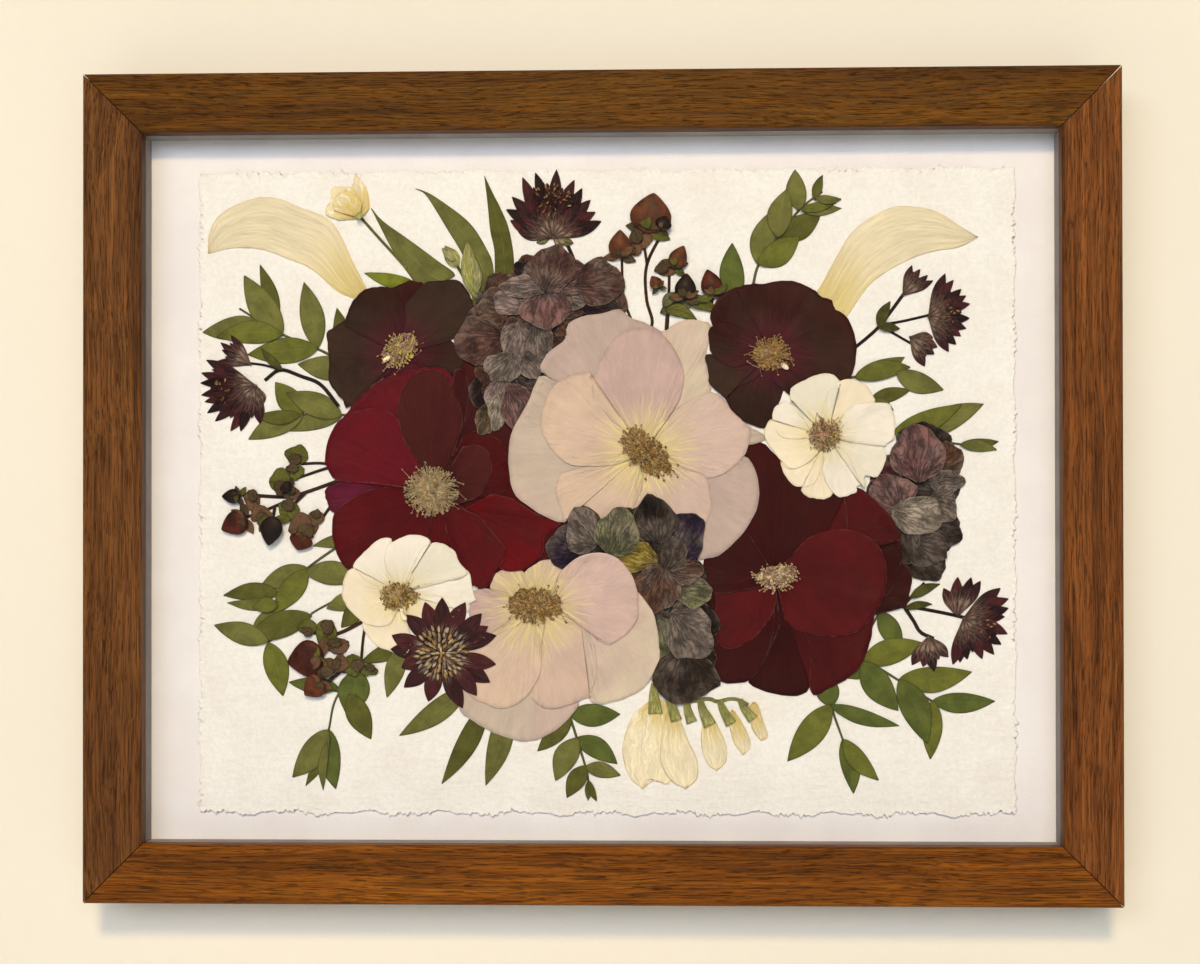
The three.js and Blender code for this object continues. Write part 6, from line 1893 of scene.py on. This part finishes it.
CAD_FINISHES = {
    **RAIL_FINISHES,
    "mat_board": MAT_BOARD,
    **{f"spacer_{side}": SPACER_PAINTED_SHADE for side in SIDES},
    "backing_board": KRAFT,
    "glazing": GlassFinish(),
    **{f"flex_tab_{side}": SteelFinish() for side in SIDES},
    **{name: SteelFinish() for name in ("sawtooth_hanger", "hanger_nail_left", "hanger_nail_right")},
}


def dress_cad_nodes() -> None:
    """Gives the shown CAD nodes their finishes. The glass neither shades nor doubles the light behind it."""
    for name, finish in CAD_FINISHES.items():
        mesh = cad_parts[name].data
        mesh.materials.clear()
        mesh.materials.append(material_of(finish))
    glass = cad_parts["glazing"]
    glass.visible_shadow = glass.visible_diffuse = glass.visible_glossy = False
    log.info("dressed %d nodes of the frame", len(CAD_FINISHES))


@dataclass(frozen=True)
class DecklePaper:
    """The thick sheet of rag paper with its torn edge."""

    left: float = -152.8
    right: float = 156.5
    top: float = 120.8
    bottom: float = -123.2
    corners: int = 1800
    steps: tuple[float, ...] = (0.0, 0.35, 0.5, 0.7, 1.0, 1.6, 2.6)
    thick: float = 0.45
    merge: float = 1e-7               # metres
    corner_fade: float = 1.5          # how far from a corner the tear fades out
    raised: float = 1.1               # how far in the raised rim reaches

    def torn(self, at: float, side: float) -> float:
        """How far the torn edge strays from its line, in millimetres."""
        slow = (0.6 * math.sin(at * 0.21 + side) + 0.4 * math.sin(at * 0.47 + side * 2.3)) * (1.2 if side == 1 else 0.6)
        quick = (0.3 * math.sin(at * 1.3 + side * 3) + 0.26 * math.sin(at * 2.9 + side) + 0.2 * math.sin(at * 3.7)
                 + 0.16 * math.sin(at * 4.9 + side))
        return slow + quick * (1.1 + 0.7 * math.sin(at * 0.17 + side))

    def ring_point(self, share: float, inset: float) -> tuple[float, float, float]:
        """A place on one of the rings that step in from the torn edge.

        Args:
            share: How far round from the lower left corner, from 0 to 1.
            inset: How far in from the nominal edge, in millimetres.

        Returns:
            Its x and z, and how far it stands above the sheet's face.
        """
        wide, high = self.right - self.left, self.top - self.bottom
        at = share * 2 * (wide + high)
        sides = ((wide, self.left, self.bottom, 1, 0, 0, 1), (high, self.right, self.bottom, 0, 1, 1, 0),
                 (wide, self.right, self.top, -1, 0, 0, 1), (high, self.left, self.top, 0, -1, 1, 0))
        for side, (length, x, z, along_x, along_z, off_x, off_z) in enumerate(sides, 1):
            if at <= length or side == 4:
                break
            at -= length
        corner = 1 - math.exp(-min(at, length - at) / self.corner_fade)
        stray = self.torn(at, side) * corner * math.exp(-inset / self.corner_fade)
        x, z = x + along_x * at + off_x * stray, z + along_z * at + off_z * stray
        middle = (self.left + self.right) / 2, (self.bottom + self.top) / 2
        x = middle[0] + (x - middle[0]) * (1 - 2 * inset / wide)
        z = middle[1] + (z - middle[1]) * (1 - 2 * inset / high)
        rough = wave(np.array([share * 900]), 3.3)[0]
        fade = math.exp(-inset / self.raised) - math.exp(-sum(self.steps) / self.raised)
        return x, z, (0.5 + 0.4 * rough) * fade

    def build(self) -> bpy.types.Object:
        """Makes the sheet: rings that step in from the torn edge, and the flat middle that they close on."""
        bm = bmesh.new()
        made = bmesh.ops.create_grid(bm, x_segments=self.corners, y_segments=len(self.steps) - 1, size=0.5)
        insets = np.cumsum(self.steps)
        for n, vert in enumerate(made["verts"]):
            ring, k = divmod(n, self.corners + 1)
            x, z, rise = self.ring_point(k % self.corners / self.corners, insets[ring])
            vert.co = spot(x, rise, z)
        inner = set(made["verts"][-self.corners - 1:])
        rim = [edge for edge in bm.edges if edge.verts[0] in inner and edge.verts[1] in inner]
        bmesh.ops.remove_doubles(bm, verts=bm.verts[:], dist=self.merge)
        middle = bmesh.ops.contextual_create(bm, geom=[edge for edge in rim if edge.is_valid])["faces"][0]
        bm.normal_update()
        bmesh.ops.reverse_faces(bm, faces=[face for face in bm.faces if face.normal.y > 0])
        for face in bm.faces:
            face.smooth = face != middle
        sheet = make_object("deckle_sheet", bm, material_of(DECKLE), self.thick)
        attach(sheet, "root")
        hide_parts("deckle_paper")
        log.info("torn-edge sheet: %d corners", self.corners)
        return sheet


# ---- room, light and camera -----------------------------------------------------------------------------


@dataclass(frozen=True)
class Studio:
    """The wall that the frame hangs on, the floor, the lights and the camera."""

    wall_y: float = 0.0022
    floor_z: float = -0.95
    reach: float = 3.0                # half the width of the wall and of the floor
    key_power: float = 22.5
    key_size: tuple[float, float] = (0.32, 0.26)
    key_at: tuple[float, float, float] = (0.0, -1.97, 0.79)
    fill_power: float = 41.0
    fill_size: tuple[float, float] = (3.0, 0.9)
    fill_at: tuple[float, float, float] = (-0.3, -2.6, 0.5)
    low_power: float = 8.0
    low_size: tuple[float, float] = (3.0, 1.6)
    low_at: tuple[float, float, float] = (0.2, -2.4, -0.75)
    back_power: float = 34.0
    back_at: tuple[float, float, float] = (-1.2, 2.0, 0.7)
    world: float = 0.05
    lens: float = 56.52               # millimetres
    sensor: float = 36.0              # millimetres
    shift: float = 0.05
    camera_at: tuple[float, float, float] = (0.02218, -0.7307, -0.169715)
    camera_turns: tuple[tuple[float, str], ...] = ((1.775, "Z"), (0.369, "X"), (0.070, "Y"))

    def build(self) -> None:
        """Makes the room and sets the camera."""
        scene = bpy.context.scene
        scene.view_settings.view_transform = "Standard"
        self.plane("wall", Matrix.Translation((0, self.wall_y, 0)) @ Matrix.Rotation(math.pi / 2, 4, "X"), "#f1e9d5")
        self.plane("floor", Matrix.Translation((0, 0, self.floor_z)), "#cfcdc9")
        self.lamp("key_lamp", self.key_at, self.key_size, self.key_power, (1.0, 0.77, 0.42))
        fill = self.lamp("fill_lamp", self.fill_at, self.fill_size, self.fill_power, (0.86, 0.93, 1.1))
        low = self.lamp("low_lamp", self.low_at, self.low_size, self.low_power, (0.66, 0.9, 1.15))
        fill.visible_glossy = low.visible_glossy = False
        self.lamp("back_lamp", self.back_at, (1.6, 1.6), self.back_power, (1.0, 0.96, 0.9))
        scene.world = self.surroundings()
        self.camera(scene)

    def surroundings(self) -> bpy.types.World:
        """Dim blue daylight on the part, and a pale room where the camera looks past it."""
        world = bpy.data.worlds.new("soft_daylight")
        world.use_nodes = True
        world.node_tree.nodes.clear()
        g = Graph(world.node_tree)
        dim = g.add("ShaderNodeBackground", {"Color": (0.68, 0.9, 1.15, 1), "Strength": self.world})
        pale = g.add("ShaderNodeBackground", {"Color": tint_of("#dedbd4"), "Strength": 1.0})
        seen = g.add("ShaderNodeLightPath").outputs["Is Camera Ray"]
        mix = g.add("ShaderNodeMixShader", {0: seen, 1: dim.outputs[0], 2: pale.outputs[0]})
        g.add("ShaderNodeOutputWorld", {"Surface": mix.outputs[0]})
        return world

    def plane(self, name: str, place: Matrix, color: str) -> None:
        """Adds a flat surface that is seen from its front and clear from behind."""
        bm = bmesh.new()
        bmesh.ops.create_grid(bm, x_segments=2, y_segments=2, size=self.reach, matrix=place)
        surface = make_object(name, bm, self.paint(name, color))
        surface.visible_shadow = False

    @staticmethod
    def paint(name: str, color: str) -> bpy.types.Material:
        """Matt paint with a faint unevenness, clear from behind."""
        material, g, shader = new_material(name + "_paint")
        cloud = g.noise(g.place(), 2.5, 3.0)
        shade = g.swing(cloud, 0.975, 1.02)
        bump = g.bump(g.noise(g.place(), 900.0, 3.0), 0.00005)
        g.skin(shader, g.shaded(tint_of(color), shade), bump, 0.95, 0.1)
        clear = g.add("ShaderNodeBsdfTransparent")
        mix = g.add("ShaderNodeMixShader", {0: g.add("ShaderNodeNewGeometry").outputs["Backfacing"],
                                            1: shader.outputs[0], 2: clear.outputs[0]})
        output = next(n for n in g.tree.nodes if n.type == "OUTPUT_MATERIAL")
        g.feed(output.inputs["Surface"], mix.outputs[0])
        return material

    @staticmethod
    def lamp(name: str, at: tuple[float, float, float], size: tuple[float, float], power: float,
             color: tuple[float, float, float]) -> bpy.types.Object:
        """Adds a soft lamp.

        Args:
            name: The lamp's name.
            at: Where it stands; it is aimed at the middle of the frame.
            size: Its width and height in metres.
            power: Its power in watts.
            color: Its scene-linear colour.

        Returns:
            The lamp.
        """
        data = bpy.data.lights.new(name, "AREA")
        data.shape, data.size, data.size_y, data.energy, data.color = "ELLIPSE", *size, power, color
        lamp = bpy.data.objects.new(name, data)
        lamp.location = at
        lamp.rotation_euler = (Vector((OPENING.x, 0, OPENING.z)) - Vector(at)).to_track_quat("-Z", "Y").to_euler()
        bpy.context.scene.collection.objects.link(lamp)
        return lamp

    def camera(self, scene: bpy.types.Scene) -> None:
        """Places the camera in front of the frame."""
        data = bpy.data.cameras.new("camera")
        data.lens, data.sensor_width, data.shift_y = self.lens, self.sensor, self.shift
        camera = bpy.data.objects.new("camera", data)
        place = Matrix.Translation(self.camera_at)
        for angle, axis in (*self.camera_turns, (90.0, "X")):
            place = place @ Matrix.Rotation(math.radians(angle), 4, axis)
        camera.matrix_world = place
        scene.collection.objects.link(camera)
        scene.camera = camera


# ---- the whole part ---------------------------------------------------------------------------------------

SMALL = SpeckFinish("dried_stamens")
BLUSH_ROSE = PetalFinish("blush_rose_petal", 46, 0.06, 0.86, 0.22, heart=Tone.BUTTER, heart_reach=24,
                         heart_amount=0.85, heart_rays=0.2, rim=Tone.BLUSH_ROSE, rim_amount=0.5, patch_dark=0.92,
                         patch_light=1.05, patch_scale=70, stain=Tone.BLUSH_MAUVE, stain_amount=0.5, crease=2.0)
IVORY_ROSE = PetalFinish("ivory_rose_petal", 34, 0.05, 0.93, 0.16, heart=Tone.BUTTER, heart_reach=16,
                         heart_amount=0.7, heart_rays=0.3, rim=Tone.LILY_GOLD, rim_amount=0.3, patch_dark=0.95,
                         patch_light=1.03, patch_scale=70)
# the red roses' pale rim line is partly their own edge colour and partly a painted highlight along the edges
RED_ROSES = {
    "burgundy_petal": PetalFinish("burgundy_rose_petal", 44, 0.05, 1.4, 0.16, rim=Tone.CRIMSON_PLUM,
                                  rim_amount=0.35, heart=Tone.CRIMSON_PLUM, heart_reach=20, heart_amount=0.5,
                                  patch_scale=60, patch_dark=0.8, patch_light=1.25, roughness=0.55,
                                  stain=Tone.WINE_GREY, stain_amount=0.6),
    "crimson_petal": PetalFinish("crimson_rose_petal", 44, 0.05, 0.75, 0.16, rim=Tone.BLUSH_ROSE, rim_amount=0.09,
                                 patch_scale=60, patch_dark=0.85, patch_light=1.12, roughness=0.55,
                                 stain=Tone.CRIMSON_BROWN, stain_amount=0.4),
    "maroon_petal": PetalFinish("maroon_rose_petal", 44, 0.05, 0.75, 0.16, rim=Tone.BLUSH_ROSE, rim_amount=0.09,
                                patch_scale=60, patch_dark=0.82, patch_light=1.16, roughness=0.55,
                                stain=Tone.MAROON_BROWN, stain_amount=0.4),
}
ROSE_FINISHES = {**RED_ROSES, "blush_petal": BLUSH_ROSE, "ivory_petal": IVORY_ROSE}
HYDRANGEA = PetalFinish("hydrangea_petal_face", 13, 0.12, 0.42, 0.8, patch_scale=190, patch_dark=0.6,
                        patch_light=1.62, rim=Tone.TAUPE_LIGHT, rim_amount=0.45, stain=Tone.TAUPE,
                        stain_scale=75, stain_amount=0.5, relief=0.00022)
BRACT = PetalFinish("masterwort_bract", 9, 0.04, 0.6, 0.5, heart=Tone.BRACT_PALE, heart_reach=12, heart_amount=0.75,
                    heart_rays=1.0, rim=Tone.PLUM_RED, rim_amount=0.4, relief=0.00015, specular=0.3, roughness=0.5)
LEAF = LeafFinish("dried_leaf")
LANCE = LeafFinish("dried_blade", pairs=16, slant=3.2)
POD = LeafFinish("dried_calyx", 4, 0.8, vein_shade=0.6, rim_shade=0.6, relief=0.0002)
BERRY = SpeckFinish("dried_berry", 260, 0.4, 1.7, 0.4, 0.0002, coat=0.06)
LILY = PetalFinish("lily_petal_face", 60, 0.03, 0.88, 0.5, patch_scale=60, patch_dark=0.98, patch_light=1.05,
                   heart=Tone.LILY_GOLD, heart_reach=34, heart_amount=0.8, heart_rays=0.15, rim=Tone.LILY_GOLD,
                   rim_amount=0.4, relief=0.00006)
CREAM = PetalFinish("freesia_petal_face", 15, 0.3, 0.78, 0.55, patch_scale=120, patch_dark=0.98, patch_light=1.08,
                    heart=Tone.CREAM_GOLD, heart_reach=17, heart_amount=0.9, heart_rays=0.4, rim=Tone.CREAM_GOLD,
                    rim_amount=0.4, relief=0.00008)
BUDS = PetalFinish("green_bud_face", 7, 0.1, 0.72, 0.6, patch_scale=220, patch_dark=0.8, patch_light=1.2,
                   rim=Tone.OLIVE, rim_amount=0.3, stain=Tone.BUD_PALE, stain_scale=150, stain_amount=0.7,
                   relief=0.0003)


def grow_everything() -> Arrangement:
    """Makes every specimen and lays them all."""
    arrangement = Arrangement()
    for rose in ROSES:
        arrangement.add(rose.grow(ROSE_FINISHES[rose.slot], SMALL))
    for specimen in (*grow_hydrangeas(HYDRANGEA), *grow_pale(LILY, CREAM, BUDS, SMALL)):
        arrangement.add(specimen)
    for flower in MASTERWORTS:
        arrangement.add(flower.grow(BRACT, SMALL))
    for stem in POD_STEMS:
        arrangement.add(stem.grow(POD, BERRY))
    for sprig in SPRIGS:
        arrangement.add(sprig.grow(LEAF))
    for name, piece in LANCES:
        lance = Specimen(name, "leaf", LANCE)
        lance.add(blade(piece.outline, piece.tip, 10, 34), piece.tone, 0, curl=0.3)
        arrangement.add(lance)
    for name, slot, tone, (base, tip, width, level) in BLADES:
        lance = Specimen(name, slot, LANCE)
        lance.add(leaf(base, tip, width, 0.03, out=30), tone, level, curl=0.3)
        arrangement.add(lance)
    bud = Specimen("freesia_bud_small", "fresh_leaf", BUDS)
    bud.add(ribbon([(-55, 86), (-51.6, 80.4), (-48, 74)], 1.2), Tone.STALK, 2, bulge=0.3, curl=0, ripple=0)
    bud.add(ribbon([(-48, 75), (-47.4, 69.4)], 1.6), Tone.SPRING, 2, bulge=0.3, curl=0, ripple=0)
    bud.add(leaf((-47.2, 72.4), (-50.2, 94.6), 6.4, 0.04), Tone.BUD, 2.02, curl=0.7, ripple=0.3)
    bud.add(leaf((-46.6, 74), (-47.4, 88), 3.4, -0.04), Tone.BUD_PALE, 2.04, curl=0.6, ripple=0.2)
    bud.add(leaf((-54, 84.4), (-58.8, 92.4), 5.6), Tone.BUD, 2.05, curl=0.6, ripple=0.2)
    bud.add(leaf((-55, 86.6), (-60, 91.4), 3), Tone.BUD_PALE, 2.07, curl=0.5)
    arrangement.add(bud)
    arrangement.lay()
    return arrangement


def main() -> None:
    """Builds the whole part, its room and its camera."""
    logging.basicConfig(level=logging.INFO, format="%(name)s: %(message)s")
    dress_cad_nodes()
    DecklePaper().build()
    grow_everything().build()
    Studio().build()


if __name__ == "__main__":
    main()
